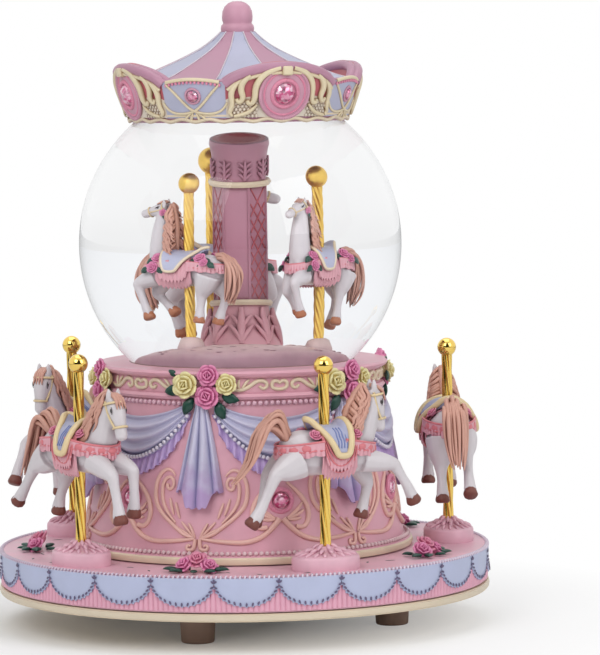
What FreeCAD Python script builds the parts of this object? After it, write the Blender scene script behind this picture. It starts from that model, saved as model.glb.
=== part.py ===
import FreeCAD, Part
import math
import operator
import os
from types import SimpleNamespace

import Sketcher
from FreeCAD import Placement, Rotation, Vector

# Carousel music box with a water globe, in millimetres.
# The origin is the middle of the floor under the feet, +Z is up and the front faces -Y.
# Angles are in degrees from the front (-Y) towards the right (+X).

SIZES = {
    # Fits and gaps
    "glue_gap": 0.05,
    "running_fit": 0.08,
    "running_gap": 0.4,
    # Base plate and feet
    "rim_proud": 0.7,
    "base_thickness": 2.8,
    "foot_height": 12.4,
    "foot_top_radius": 6.6,
    "foot_tip_radius": 6.0,
    "foot_circle": 57.0,
    "foot_peg_radius": 3.0,
    "collar_radius": 45.0,
    "collar_wall": 3.0,
    "post_radius": 4.0,
    "post_circle": 38.8,
    "base_screw_radius": 1.5,
    "base_screw_head_radius": 2.8,
    "base_screw_head_height": 1.4,
    "glide_radius": 3.0,
    "glide_inset": 20.3,
    # Platform
    "platform_radius": 90.3,
    "platform_height": 12.6,
    "platform_plate": 3.0,
    "skirt_wall": 3.5,
    "hub_wall": 2.9,
    "pole_inset": 13.3,
    "pole_radius": 2.0,
    "ball_radius": 3.5,
    "ball_height": 72.7,
    "pedestal_length": 25.0,
    "pedestal_width": 18.5,
    "pedestal_tier": 4.2,
    "pedestal_dome": 2.4,
    "pedestal_dome_radius": 8.2,
    "pedestal_collar_radius": 5.5,
    "pedestal_collar": 1.7,
    "socket_depth": 6.8,
    "spray_rose_radius": 4.4,
    "spray_rose_lift": 3.1,
    "spray_leaf_radius": 3.1,
    "spray_leaf_reach": 5.7,
    "spray_leaf_lift": 1.3,
    "horse_height": 41.3,
    # Gear train
    "gear_module": 1.5,
    "pressure_angle": 25.0,
    "ring_teeth": 64,
    "sun_teeth": 32,
    "pinion_teeth": 16,
    "backlash": 0.15,
    "gear_face": 5.0,
    "ring_rim": 3.2,
    "gear_headroom": 0.5,
    "ring_screw_radius": 0.9,
    "pinion_shaft_radius": 1.5,
    "drive_shaft_radius": 2.5,
    "bush_wall": 2.5,
    "bush_height": 6.0,
    # Deck, motor and electrics
    "deck_thickness": 2.5,
    "deck_screw_radius": 1.0,
    "deck_screw_head_radius": 1.8,
    "deck_screw_head_height": 1.2,
    "deck_screw_length": 9.0,
    "motor_radius": 12.5,
    "motor_height": 28.0,
    "motor_cap_radius": 4.0,
    "motor_cap_height": 2.0,
    "pinion_shaft_hold": 9.0,
    "motor_screw_spread": 6.0,
    "speaker_radius": 17.0,
    "speaker_height": 8.0,
    "speaker_flange": 2.0,
    "magnet_radius": 10.0,
    "speaker_circle": 66.5,
    "grille_hole_radius": 1.5,
    "board_length": 44.0,
    "board_width": 22.0,
    "board_thickness": 1.6,
    "board_standoff": 2.0,
    "board_circle": 65.0,
    "chip_size": 10.0,
    "chip_height": 1.6,
    "chip_offset": 9.0,
    "capacitor_radius": 2.4,
    "capacitor_height": 4.0,
    "cell_radius": 7.25,
    "cell_length": 50.5,
    "contact_gap": 2.5,
    "contact_radius": 3.0,
    "box_wall": 1.2,
    "box_play": 0.35,
    "door_thickness": 1.8,
    "door_play": 0.3,
    "door_pin_radius": 0.6,
    "door_pin_length": 1.6,
    "switch_circle": 70.0,
    "switch_travel": 4.0,
    "knob_length": 4.5,
    "knob_width": 3.5,
    "knob_proud": 1.2,
    "switch_body_length": 14.0,
    "switch_body_width": 7.0,
    "switch_body_height": 5.5,
    "receiver_height": 14.0,
    "receiver_width": 6.0,
    "receiver_depth": 4.0,
    "receiver_circle": 46.0,
    # Drum
    "drum_foot_radius": 62.5,
    "drum_foot_height": 3.4,
    "drum_low_radius": 60.0,
    "drum_high_radius": 51.5,
    "drum_flare_radius": 400.0,
    "drum_waist_height": 55.4,
    "drum_wall": 3.8,
    "drum_foot_wall": 4.0,
    "drum_step": 4.5,
    "drum_top_height": 69.2,
    "ledge_radius": 53.0,
    "ledge_height": 1.9,
    "ledge_drop": 10.3,
    "frieze_radius": 51.6,
    "lip_radius": 54.0,
    "lip_height": 2.4,
    "seat_shelf": 3.5,
    "seat_depth": 7.8,
    "drum_gem_radius": 3.6,
    "drum_gem_height": 22.4,
    "gem_seat_depth": 1.2,
    "gem_crown": 2.4,
    "gem_table": 0.55,
    "canopy_gem_proud": 3.6,
    "swag_bulge": 5.0,
    "swag_half_width": 25.0,
    "swag_top_height": 55.0,
    "swag_dip": 47.5,
    "swag_bottom_height": 31.0,
    "tail_half_width": 7.5,
    "tail_top_half_width": 3.0,
    "tail_top_height": 53.0,
    "tail_bottom_height": 20.5,
    "drum_rose_radius": 4.8,
    "cluster_height": 61.5,
    "cluster_spread": 7.0,
    # Globe and what closes it
    "globe_radius": 60.0,
    "globe_wall": 2.5,
    "globe_seat_drop": 1.25,
    "neck_radius": 38.5,
    "neck_wall": 3.0,
    "neck_drop": 15.8,
    "seat_reach": 1.8,
    "gasket_width": 3.1,
    "plug_length": 14.5,
    "plug_flange": 2.0,
    "plug_rim": 3.5,
    "light_cavity_depth": 4.2,
    "light_radius": 2.5,
    "light_circle": 20.0,
    "seal_radius": 6.0,
    "seal_height": 4.0,
    # Inner carousel
    "turntable_inset": 2.5,
    "turntable_gap": 0.5,
    "turntable_edge": 4.5,
    "turntable_height": 14.5,
    "turntable_crown_radius": 21.0,
    "turntable_shoulder": 23.0,
    "inner_pole_circle": 23.0,
    "inner_pole_radius": 1.6,
    "inner_ball_radius": 3.3,
    "inner_ball_height": 49.0,
    "inner_pedestal_radius": 4.3,
    "inner_pedestal_top_radius": 3.0,
    "inner_pedestal_height": 3.0,
    "inner_socket_depth": 2.2,
    "inner_horse_height": 23.0,
    "inner_horse_scale": 0.87,
    "column_foot_radius": 11.0,
    "column_foot_height": 12.9,
    "column_radius": 7.5,
    "column_height": 33.6,
    "column_ring": 1.4,
    "column_ring_radius": 8.6,
    "capital_radius": 8.4,
    "capital_height": 13.0,
    "capital_recess": 3.0,
    "recess_floor_radius": 4.5,
    "recess_mouth_radius": 6.0,
    # Canopy and finial
    "canopy_height": 32.8,
    "canopy_seat_radius": 38.88,
    "canopy_foot_radius": 40.0,
    "brim_radius": 44.6,
    "brim_height": 15.1,
    "plaque_radius": 45.8,
    "plaque_height": 20.9,
    "plaque_half_width": 16.5,
    "plaque_thickness": 4.0,
    "roof_edge_radius": 42.0,
    "roof_curve_radius": 88.0,
    "roof_top_radius": 6.4,
    "large_gem_radius": 4.5,
    "large_gem_height": 10.4,
    "small_gem_radius": 2.35,
    "small_gem_height": 9.0,
    "finial_collar_radius": 6.0,
    "finial_collar": 3.5,
    "finial_neck_radius": 4.0,
    "finial_knob_radius": 5.5,
    "finial_height": 11.5,
    "finial_peg_radius": 2.0,
    "finial_peg_length": 5.0,
}

OUTER_HORSES = 5
INNER_HORSES = 3
SECTORS = 6
FEET = 4
POSTS = 4
GLIDES = 6
CELLS = 3
PLAQUES = 4
RING_SCREWS = 6
LIGHTS = 6
DECK_SCREWS = 4
GRILLE_HOLES = 6

OUTER_START = 22.0
INNER_START = -42.5
SPRAY_START = -13.0
CLUSTER_START = -15.0
GEM_START = 15.0
FOOT_START = -17.6
LARGE_PLAQUE_START = 22.5
SMALL_PLAQUE_START = -22.5
PINION_ANGLE = 135.0
GLIDE_START = 30.0
SPEAKER_ANGLE = 120.0
BOARD_ANGLE = -120.0
DECK_SCREW_START = 20.0
# The pinion's place in degrees from +X, where a gear's first tooth stands
PINION_TOOTH = PINION_ANGLE - 90

OPERATIONS = {"+": operator.add, "-": operator.sub, "*": operator.mul, "/": operator.truediv}


class Size:
    """A number together with the sheet formula that gives it."""

    def __init__(self, value, formula):
        self.value = float(value)
        self.formula = formula

    def __add__(self, other):
        return joined(self, "+", other)

    def __radd__(self, other):
        return joined(other, "+", self)

    def __sub__(self, other):
        return joined(self, "-", other)

    def __rsub__(self, other):
        return joined(other, "-", self)

    def __mul__(self, other):
        return joined(self, "*", other)

    def __rmul__(self, other):
        return joined(other, "*", self)

    def __truediv__(self, other):
        return joined(self, "/", other)


def as_size(number):
    return number if isinstance(number, Size) else Size(number, f"({float(number)!r})")


def joined(left, sign, right):
    left, right = as_size(left), as_size(right)
    value = OPERATIONS[sign](left.value, right.value)
    return Size(value, f"({left.formula} {sign} {right.formula})")


def root(size):
    return Size(math.sqrt(size.value), f"sqrt({size.formula})")


doc = FreeCAD.newDocument("CarouselMusicBox")
sheet = doc.addObject("Spreadsheet::Sheet", "Sizes")
for row, (alias, number) in enumerate(SIZES.items(), start=1):
    sheet.set(f"A{row}", alias)
    sheet.set(f"B{row}", str(number))
    sheet.setAlias(f"B{row}", alias)
doc.recompute()

dim = SimpleNamespace(**{alias: Size(number, f"Sizes.{alias}") for alias, number in SIZES.items()})

# Heights and radii that several pieces share
base_radius = dim.platform_radius + dim.rim_proud
pole_circle = dim.platform_radius - dim.pole_inset
glide_circle = dim.platform_radius - dim.glide_inset
base_top = dim.foot_height + dim.base_thickness
platform_bottom = base_top + dim.running_gap
platform_top = platform_bottom + dim.platform_height
platform_under = platform_top - dim.platform_plate
hub_bore = dim.collar_radius + dim.running_fit
hub_radius = hub_bore + dim.hub_wall
cell_height = dim.foot_height + dim.door_thickness + dim.glue_gap + dim.cell_radius
bay_length = dim.cell_length + 2 * dim.contact_gap
bay_width = 2 * CELLS * dim.cell_radius + 2 * CELLS * dim.box_play
box_ceiling = cell_height + dim.cell_radius + dim.glue_gap
hinge_height = dim.foot_height + dim.door_thickness / 2
hinge_y = dim.door_thickness / 2 + dim.door_play - bay_width / 2
gear_bottom = box_ceiling + dim.box_wall + dim.gear_headroom
gear_top = gear_bottom + dim.gear_face
deck_bottom = gear_top + dim.gear_headroom
deck_top = deck_bottom + dim.deck_thickness
drum_bottom = platform_top + dim.running_gap
drum_top = drum_bottom + dim.drum_top_height
drum_bore = dim.drum_low_radius - dim.drum_foot_wall
deck_radius = drum_bore - dim.running_gap
step_radius = drum_bore - dim.drum_step
ring_pitch = dim.gear_module * dim.ring_teeth / 2
sun_pitch = dim.gear_module * dim.sun_teeth / 2
pinion_pitch = dim.gear_module * dim.pinion_teeth / 2
pinion_circle = sun_pitch + pinion_pitch
seat_radius = dim.neck_radius + dim.seat_reach
seat_fall = root(dim.globe_radius * dim.globe_radius - seat_radius * seat_radius)
globe_centre = drum_top - dim.globe_seat_drop + seat_fall
globe_room = dim.globe_radius - dim.globe_wall
neck_bottom = drum_top - dim.neck_drop
neck_bore = dim.neck_radius - dim.neck_wall
plug_top = neck_bottom + dim.plug_length
plug_bottom = neck_bottom - dim.plug_flange
light_ceiling = plug_bottom + dim.light_cavity_depth
light_cavity_radius = neck_bore - dim.plug_rim
turntable_bottom = plug_top + dim.turntable_gap
turntable_radius = neck_bore - dim.turntable_inset
turntable_top = turntable_bottom + dim.turntable_height
canopy_rise = root(dim.globe_radius * dim.globe_radius - dim.canopy_seat_radius * dim.canopy_seat_radius)
canopy_bottom = globe_centre + canopy_rise
canopy_top = canopy_bottom + dim.canopy_height

subparts = []


def named(label, made):
    """Keeps a finished piece under the name of its file."""
    made.Label = label
    subparts.append(made)
    return made


def put(made, x=0, y=0, z=0, turn=None):
    """Places an object, with its coordinates bound to their formulas."""
    x, y, z = as_size(x), as_size(y), as_size(z)
    made.Placement = Placement(Vector(x.value, y.value, z.value), turn or Rotation())
    for axis, size in zip("xyz", (x, y, z)):
        made.setExpression(f"Placement.Base.{axis}", size.formula)
    return made


def bind(made, **sizes):
    for name, size in sizes.items():
        made.setExpression(name, as_size(size).formula)
    return made


def cylinder(name, radius, bottom, top, x=0, y=0):
    made = doc.addObject("Part::Cylinder", name)
    bind(made, Radius=radius, Height=top - bottom)
    return put(made, x, y, bottom)


def cone(name, bottom_radius, top_radius, bottom, top, x=0, y=0):
    made = doc.addObject("Part::Cone", name)
    bind(made, Radius1=bottom_radius, Radius2=top_radius, Height=top - bottom)
    return put(made, x, y, bottom)


def sphere(name, radius, x=0, y=0, z=0):
    made = doc.addObject("Part::Sphere", name)
    bind(made, Radius=radius)
    return put(made, x, y, z)


def box(name, length, width, bottom, top, x=0, y=0):
    """A box centred on x and y."""
    made = doc.addObject("Part::Box", name)
    bind(made, Length=length, Width=width, Height=top - bottom)
    return put(made, x - length / 2, y - width / 2, bottom)


OUTWARD = Rotation(Vector(1, 0, 0), 90)
ALONG_X = Rotation(Vector(0, 1, 0), 90)


def spoke(name, radius, start, end, z):
    """A level cylinder that points out of the front, from one distance off the axis to another."""
    made = doc.addObject("Part::Cylinder", name)
    bind(made, Radius=radius, Height=end - start)
    return put(made, 0, 0 - start, z, OUTWARD)


def crown(name, radius, start, end, z):
    """The tapering top of a cut stone that points out of the front."""
    made = doc.addObject("Part::Cone", name)
    bind(made, Radius1=radius, Radius2=radius * dim.gem_table, Height=end - start)
    return put(made, 0, 0 - start, z, OUTWARD)


def fused(name, shapes):
    made = doc.addObject("Part::MultiFuse", name)
    made.Shapes = shapes
    return made


def cut(name, base, tool):
    made = doc.addObject("Part::Cut", name)
    made.Base = base
    made.Tool = tool
    return made


def common(name, first, second):
    made = doc.addObject("Part::MultiCommon", name)
    made.Shapes = [first, second]
    return made


def at_angle(degrees):
    return Placement(Vector(), Rotation(Vector(0, 0, 1), degrees))


def linked(name, master, degrees):
    """A copy of a piece, turned about the middle axis."""
    made = doc.addObject("App::Link", name)
    made.LinkedObject = master
    made.LinkTransform = True
    made.Placement = at_angle(degrees)
    return made


def ring_of(name, master, count, start):
    """Copies of a piece, evenly round the middle axis, as one group of solids."""
    copies = [linked(f"{name}_{index}", master, start + 360 / count * index) for index in range(count)]
    made = doc.addObject("Part::Compound", name)
    made.Links = copies
    return made


def turned(name, outline):
    """A body turned about Z from a closed outline of (radius, height) points.

    A point may also give the radius of an arc to the next point, and on which side it bulges.
    """
    body = doc.addObject("PartDesign::Body", name)
    sketch = body.newObject("Sketcher::SketchObject", f"{name}_outline")
    plane = next(face for face in body.Origin.OriginFeatures if face.Role == "XZ_Plane")
    sketch.AttachmentSupport = (plane, [""])
    sketch.MapMode = "FlatFace"
    corners = [Vector(as_size(point[0]).value, as_size(point[1]).value, 0) for point in outline]
    ends = []
    for point, start, end in zip(outline, corners, corners[1:] + corners[:1]):
        if len(point) == 2:
            sketch.addGeometry(Part.LineSegment(start, end))
            ends.append((1, 2))
            continue
        radius, side = as_size(point[2]).value, point[3]
        along = end - start
        half = along.Length / 2
        across = Vector(-along.y, along.x, 0).normalize() * side
        middle = start + along * 0.5 + across * (radius - math.sqrt(radius ** 2 - half ** 2))
        sketch.addGeometry(Part.Arc(start, middle, end))
        ends.append((2, 1) if side > 0 else (1, 2))
    count = len(outline)
    for index in range(count):
        following = (index + 1) % count
        sketch.addConstraint(
            Sketcher.Constraint("Coincident", index, ends[index][1], following, ends[following][0]))
    for index, point in enumerate(outline):
        spot = ends[index][0]
        radius, height = as_size(point[0]), as_size(point[1])
        if radius.value == 0:
            sketch.addConstraint(Sketcher.Constraint("PointOnObject", index, spot, -2))
        else:
            made = sketch.addConstraint(Sketcher.Constraint("DistanceX", -1, 1, index, spot, radius.value))
            sketch.setExpression(f"Constraints[{made}]", radius.formula)
        made = sketch.addConstraint(Sketcher.Constraint("DistanceY", -1, 1, index, spot, height.value))
        sketch.setExpression(f"Constraints[{made}]", height.formula)
        if len(point) > 2:
            made = sketch.addConstraint(Sketcher.Constraint("Radius", index, as_size(point[2]).value))
            sketch.setExpression(f"Constraints[{made}]", as_size(point[2]).formula)
    turn = body.newObject("PartDesign::Revolution", f"{name}_turn")
    turn.Profile = sketch
    turn.ReferenceAxis = (sketch, ["V_Axis"])
    turn.Angle = 360
    return body


def shaped(name, shape, placement=None):
    made = doc.addObject("Part::Feature", name)
    made.Shape = shape
    if placement:
        made.Placement = placement
    return made


def spot(circle, degrees):
    """The x and y of a place on a circle about the middle axis."""
    turn = math.radians(degrees)
    return circle * math.sin(turn), circle * -math.cos(turn)


# Base plate, feet and what stands on the plate

def base_screw_holes(name, radius, bottom, top):
    hole = cylinder(f"{name}_hole", radius, bottom, top, 0, 0 - dim.post_circle)
    return ring_of(name, hole, POSTS, 0)


def make_base_plate():
    disc = cylinder("plate_disc", base_radius, dim.foot_height, base_top)
    collar = cylinder("collar_outside", dim.collar_radius, base_top, platform_top - dim.running_gap)
    collar_room = cylinder("collar_inside", dim.collar_radius - dim.collar_wall, base_top, platform_top)
    post = cylinder("post", dim.post_radius, base_top, deck_bottom, 0, 0 - dim.post_circle)
    posts = ring_of("posts", post, POSTS, 0)
    corner_x = dim.board_length / 2 - dim.board_standoff
    corner_y = dim.board_width / 2 - dim.board_standoff
    standoffs = []
    for number, (side_x, side_y) in enumerate(((1, 1), (1, -1), (-1, 1), (-1, -1))):
        standoffs.append(cylinder(f"standoff_{number}", dim.board_standoff, base_top,
                                  base_top + dim.board_standoff,
                                  corner_x * side_x, corner_y * side_y - dim.board_circle))
    standoff_set = doc.addObject("Part::Compound", "standoffs")
    standoff_set.Links = standoffs
    solid = fused("plate_solid", [disc, cut("collar", collar, collar_room), posts,
                                  linked("standoffs_placed", standoff_set, BOARD_ANGLE)])
    peg = cylinder("peg_hole", dim.foot_peg_radius + dim.glue_gap, dim.foot_height, base_top,
                   0, 0 - dim.foot_circle)
    pegs = ring_of("peg_holes", peg, FEET, FOOT_START)
    bay = box("bay_opening", bay_length, bay_width, dim.foot_height, base_top)
    hinge = doc.addObject("Part::Cylinder", "hinge_hole")
    hinge_reach = bay_length + 2 * dim.door_pin_length + 2 * dim.door_play
    bind(hinge, Radius=dim.door_pin_radius + dim.running_fit, Height=hinge_reach)
    put(hinge, 0 - hinge_reach / 2, hinge_y, hinge_height, ALONG_X)
    slot = box("switch_slot", dim.knob_length + dim.switch_travel + dim.running_gap,
               dim.knob_width + dim.running_gap, dim.foot_height, base_top,
               dim.switch_travel / 2, dim.switch_circle)
    grille = cylinder("grille_hole", dim.grille_hole_radius, dim.foot_height, base_top,
                      0, 0 - dim.speaker_radius / 2)
    grille_set = ring_of("grille_holes", grille, GRILLE_HOLES, 0)
    put(grille_set, 0, 0 - dim.speaker_circle)
    holes = fused("plate_holes", [
        pegs, bay, hinge, slot, linked("grille_placed", grille_set, SPEAKER_ANGLE),
        base_screw_holes("post_bores", dim.base_screw_radius + dim.glue_gap, dim.foot_height, deck_bottom),
        base_screw_holes("head_bores", dim.base_screw_head_radius + dim.glue_gap, dim.foot_height,
                         dim.foot_height + dim.base_screw_head_height)])
    named("base_plate", cut("base_plate", solid, holes))


def make_feet():
    foot = cone("foot_block", dim.foot_tip_radius, dim.foot_top_radius, as_size(0), dim.foot_height,
                0, 0 - dim.foot_circle)
    peg = cylinder("foot_peg", dim.foot_peg_radius, dim.foot_height, base_top, 0, 0 - dim.foot_circle)
    named("rubber_feet", ring_of("feet", fused("foot", [foot, peg]), FEET, FOOT_START))


def make_base_screws():
    head_top = dim.foot_height + dim.base_screw_head_height
    head = cylinder("base_screw_head", dim.base_screw_head_radius, dim.foot_height, head_top,
                    0, 0 - dim.post_circle)
    shank = cylinder("base_screw_shank", dim.base_screw_radius, head_top, deck_top, 0, 0 - dim.post_circle)
    named("base_screws", ring_of("long_screws", fused("base_screw", [head, shank]), POSTS, 0))


def make_glides():
    glide = cylinder("glide", dim.glide_radius, base_top, platform_under - dim.running_fit,
                     0, 0 - glide_circle)
    named("platform_glides", ring_of("glides", glide, GLIDES, GLIDE_START))


def make_speaker():
    frame = cylinder("speaker_frame", dim.speaker_radius, base_top, base_top + dim.speaker_flange,
                     0, 0 - dim.speaker_circle)
    magnet = cylinder("speaker_magnet", dim.magnet_radius, base_top,
                      base_top + dim.speaker_height, 0, 0 - dim.speaker_circle)
    named("speaker", linked("speaker_placed", fused("speaker_whole", [frame, magnet]), SPEAKER_ANGLE))


def make_control_board():
    bottom = base_top + dim.board_standoff
    top = bottom + dim.board_thickness
    board = box("board_sheet", dim.board_length, dim.board_width, bottom, top, 0, 0 - dim.board_circle)
    chip = box("board_chip", dim.chip_size, dim.chip_size, top, top + dim.chip_height,
               0 - dim.chip_offset, 0 - dim.board_circle)
    cap = cylinder("board_capacitor", dim.capacitor_radius, top, top + dim.capacitor_height,
                   dim.chip_offset, 0 - dim.board_circle)
    named("control_board", linked("board_placed", fused("board_whole", [board, chip, cap]), BOARD_ANGLE))


def make_battery_bay():
    outside = box("box_outside", bay_length + 2 * dim.box_wall, bay_width + 2 * dim.box_wall, base_top,
                  box_ceiling + dim.box_wall)
    inside = box("box_inside", bay_length, bay_width, base_top, box_ceiling)
    named("battery_box", cut("battery_box", outside, inside))
    cells, contacts = [], []
    pitch = 2 * dim.cell_radius + 2 * dim.box_play
    for number in range(CELLS):
        y = pitch * (number - (CELLS - 1) / 2)
        cell = doc.addObject("Part::Cylinder", f"cell_{number}")
        bind(cell, Radius=dim.cell_radius, Height=dim.cell_length)
        cells.append(put(cell, 0 - dim.cell_length / 2, y, cell_height, ALONG_X))
        for side, start in ((0, 0 - bay_length / 2), (1, dim.cell_length / 2)):
            contact = doc.addObject("Part::Cylinder", f"contact_{number}_{side}")
            bind(contact, Radius=dim.contact_radius, Height=dim.contact_gap)
            contacts.append(put(contact, start, y, cell_height, ALONG_X))
    for label, members in (("battery_cells", cells), ("battery_contacts", contacts)):
        group = doc.addObject("Part::Compound", label)
        group.Links = members
        named(label, group)


def make_battery_door():
    length = bay_length - 2 * dim.door_play
    far = bay_width / 2 - dim.door_play
    leaf = box("door_leaf", length, far - hinge_y, dim.foot_height, dim.foot_height + dim.door_thickness,
               0, (far + hinge_y) / 2)
    barrel = doc.addObject("Part::Cylinder", "door_barrel")
    bind(barrel, Radius=dim.door_thickness / 2, Height=length)
    put(barrel, 0 - length / 2, hinge_y, hinge_height, ALONG_X)
    pin = doc.addObject("Part::Cylinder", "door_pins")
    reach = bay_length + 2 * dim.door_pin_length
    bind(pin, Radius=dim.door_pin_radius, Height=reach)
    put(pin, 0 - reach / 2, hinge_y, hinge_height, ALONG_X)
    named("battery_door", fused("battery_door", [leaf, barrel, pin]))


def make_power_switch():
    body = box("switch_case", dim.switch_body_length, dim.switch_body_width, base_top,
               base_top + dim.switch_body_height, dim.switch_travel / 2, dim.switch_circle)
    room = box("switch_room", dim.knob_length + dim.switch_travel + dim.running_gap,
               dim.knob_width + dim.running_gap, base_top, base_top + dim.switch_body_height / 2,
               dim.switch_travel / 2, dim.switch_circle)
    named("switch_body", cut("switch_body", body, room))
    named("power_switch", box("power_switch", dim.knob_length, dim.knob_width,
                              dim.foot_height - dim.knob_proud, platform_bottom - dim.running_fit,
                              0, dim.switch_circle))


# Deck, motor and gears

def toothed(teeth, pitch_radius, inner, outer, widening, phase):
    """The outline of a gear with involute flanks, as a wire at height zero."""
    pressure = math.radians(dim.pressure_angle.value)
    base = pitch_radius * math.cos(pressure)

    def half_angle(radius):
        roll = math.acos(min(1, base / radius))
        involute = math.tan(pressure) - pressure - math.tan(roll) + roll
        return math.pi / (2 * teeth) + widening / (2 * pitch_radius) + involute

    def point(radius, angle):
        return Vector(radius * math.cos(angle), radius * math.sin(angle), 0)

    start = max(inner, base)
    middle = (start + outer) / 2
    step = 2 * math.pi / teeth
    edges = []
    for tooth in range(teeth):
        axis = math.radians(phase) + tooth * step
        low, mid, high = half_angle(start), half_angle(middle), half_angle(outer)
        rise = [point(start, axis - low), point(middle, axis - mid), point(outer, axis - high)]
        fall = [point(outer, axis + high), point(middle, axis + mid), point(start, axis + low)]
        foot_in, foot_out = point(inner, axis - low), point(inner, axis + low)
        next_foot = point(inner, axis + step - low)
        if start > inner:
            edges.append(Part.LineSegment(foot_in, rise[0]).toShape())
        edges.append(Part.Arc(*rise).toShape())
        edges.append(Part.Arc(rise[2], point(outer, axis), fall[0]).toShape())
        edges.append(Part.Arc(*fall).toShape())
        if start > inner:
            edges.append(Part.LineSegment(fall[2], foot_out).toShape())
        edges.append(Part.Arc(foot_out, point(inner, axis + step / 2), next_foot).toShape())
    return Part.Wire(edges)


def gear_solid(teeth, pitch_radius, inner, outer, widening, phase, bottom, top):
    face = Part.Face(toothed(teeth, pitch_radius, inner, outer, widening, phase))
    solid = face.extrude(Vector(0, 0, top - bottom))
    solid.translate(Vector(0, 0, bottom))
    return solid


ADDENDUM = 0.9
DEDENDUM = 1.2


def external_gear(name, teeth, bore, phase, bottom, top):
    module = dim.gear_module.value
    pitch = module * teeth / 2
    solid = gear_solid(teeth, pitch, pitch - DEDENDUM * module, pitch + ADDENDUM * module,
                       -dim.backlash.value, phase, bottom, top)
    hole = Part.makeCylinder(bore, top - bottom, Vector(0, 0, bottom))
    return shaped(name, solid.cut(hole))


def make_ring_gear():
    module, teeth = dim.gear_module.value, int(dim.ring_teeth.value)
    pitch = ring_pitch.value
    root_radius = pitch + DEDENDUM * module
    bottom, top = platform_top.value, gear_top.value
    half_tooth = 180 / teeth
    space = gear_solid(teeth, pitch, pitch - ADDENDUM * module, root_radius, dim.backlash.value,
                       half_tooth, bottom, top)
    rim = Part.makeCylinder(root_radius + dim.ring_rim.value, top - bottom, Vector(0, 0, bottom))
    solid = rim.cut(space)
    for place in ring_screw_places():
        hole_radius = dim.ring_screw_radius.value + dim.glue_gap.value
        solid = solid.cut(Part.makeCylinder(hole_radius, top - bottom, place + Vector(0, 0, bottom)))
    named("ring_gear", shaped("ring_gear", solid))


def ring_screw_places():
    circle = ring_pitch.value + DEDENDUM * dim.gear_module.value + dim.ring_rim.value / 2
    turns = [math.radians(360 / RING_SCREWS * number) for number in range(RING_SCREWS)]
    return [Vector(circle * math.cos(turn), circle * math.sin(turn), 0) for turn in turns]


def ring_screw_solids(radius):
    bottom = platform_under.value + dim.platform_plate.value / 3
    height = gear_top.value - bottom
    return [Part.makeCylinder(radius, height, place + Vector(0, 0, bottom)) for place in ring_screw_places()]


def make_ring_screws():
    solids = ring_screw_solids(dim.ring_screw_radius.value)
    named("ring_gear_screws", shaped("ring_gear_screws", Part.makeCompound(solids)))


def make_sun_and_shaft():
    named("sun_gear", external_gear("sun_gear", int(dim.sun_teeth.value),
                                    dim.drive_shaft_radius.value + dim.glue_gap.value, PINION_TOOTH,
                                    gear_bottom.value, gear_top.value))
    named("drive_shaft", cylinder("drive_shaft", dim.drive_shaft_radius, gear_bottom,
                                  turntable_top - dim.turntable_edge))


def make_pinion():
    x, y = spot(pinion_circle, PINION_ANGLE)
    gap_phase = PINION_TOOTH + 180 / dim.pinion_teeth.value
    gear = external_gear("motor_pinion", int(dim.pinion_teeth.value),
                         dim.pinion_shaft_radius.value + dim.glue_gap.value, gap_phase,
                         gear_bottom.value, gear_top.value)
    put(gear, x, y)
    named("motor_pinion", gear)
    named("pinion_shaft", cylinder("pinion_shaft", dim.pinion_shaft_radius, gear_bottom,
                                   deck_top + dim.pinion_shaft_hold, x, y))


def motor_screw_places():
    x, y = spot(pinion_circle, PINION_ANGLE)
    return [(x + dim.motor_screw_spread * side, y - dim.motor_screw_spread * side) for side in (-1, 1)]


def countersunk(name, places, extra, top):
    """Screws from below the deck with their heads let into it, or with extra room, their holes."""
    solids = []
    head_top = deck_bottom + dim.deck_screw_head_height
    for number, (x, y) in enumerate(places):
        solids.append(cylinder(f"{name}_head_{number}", dim.deck_screw_head_radius + extra, deck_bottom,
                               head_top, x, y))
        solids.append(cylinder(f"{name}_shank_{number}", dim.deck_screw_radius + extra, head_top, top, x, y))
    return fused(name, solids)


def deck_screw_places():
    circle = (deck_radius + step_radius) / 2
    return [spot(circle, DECK_SCREW_START + 360 / DECK_SCREWS * number) for number in range(DECK_SCREWS)]


deck_screw_top = deck_bottom + dim.deck_screw_length


def make_deck():
    x, y = spot(pinion_circle, PINION_ANGLE)
    disc = cylinder("deck_disc", deck_radius, deck_bottom, deck_top)
    bush_radius = dim.drive_shaft_radius + dim.running_fit + dim.bush_wall
    holes = fused("deck_holes", [
        cylinder("deck_bush_hole", bush_radius + dim.glue_gap, deck_bottom, deck_top),
        cylinder("deck_pinion_hole", dim.pinion_shaft_radius * 2, deck_bottom, deck_top, x, y),
        base_screw_holes("deck_post_holes", dim.base_screw_radius + dim.glue_gap, deck_bottom, deck_top),
        countersunk("deck_drum_holes", deck_screw_places(), dim.glue_gap, deck_top),
        countersunk("deck_motor_holes", motor_screw_places(), dim.glue_gap, deck_top)])
    named("mechanism_deck", cut("mechanism_deck", disc, holes))
    named("deck_screws", countersunk("deck_screws", deck_screw_places(), 0, deck_screw_top))
    named("motor_screws", countersunk("motor_screws", motor_screw_places(), 0, deck_screw_top))
    bush = cylinder("bush_outside", bush_radius, deck_bottom, deck_bottom + dim.bush_height)
    bore = cylinder("bush_bore", dim.drive_shaft_radius + dim.running_fit, deck_bottom,
                    deck_bottom + dim.bush_height)
    named("shaft_bush", cut("shaft_bush", bush, bore))


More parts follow.
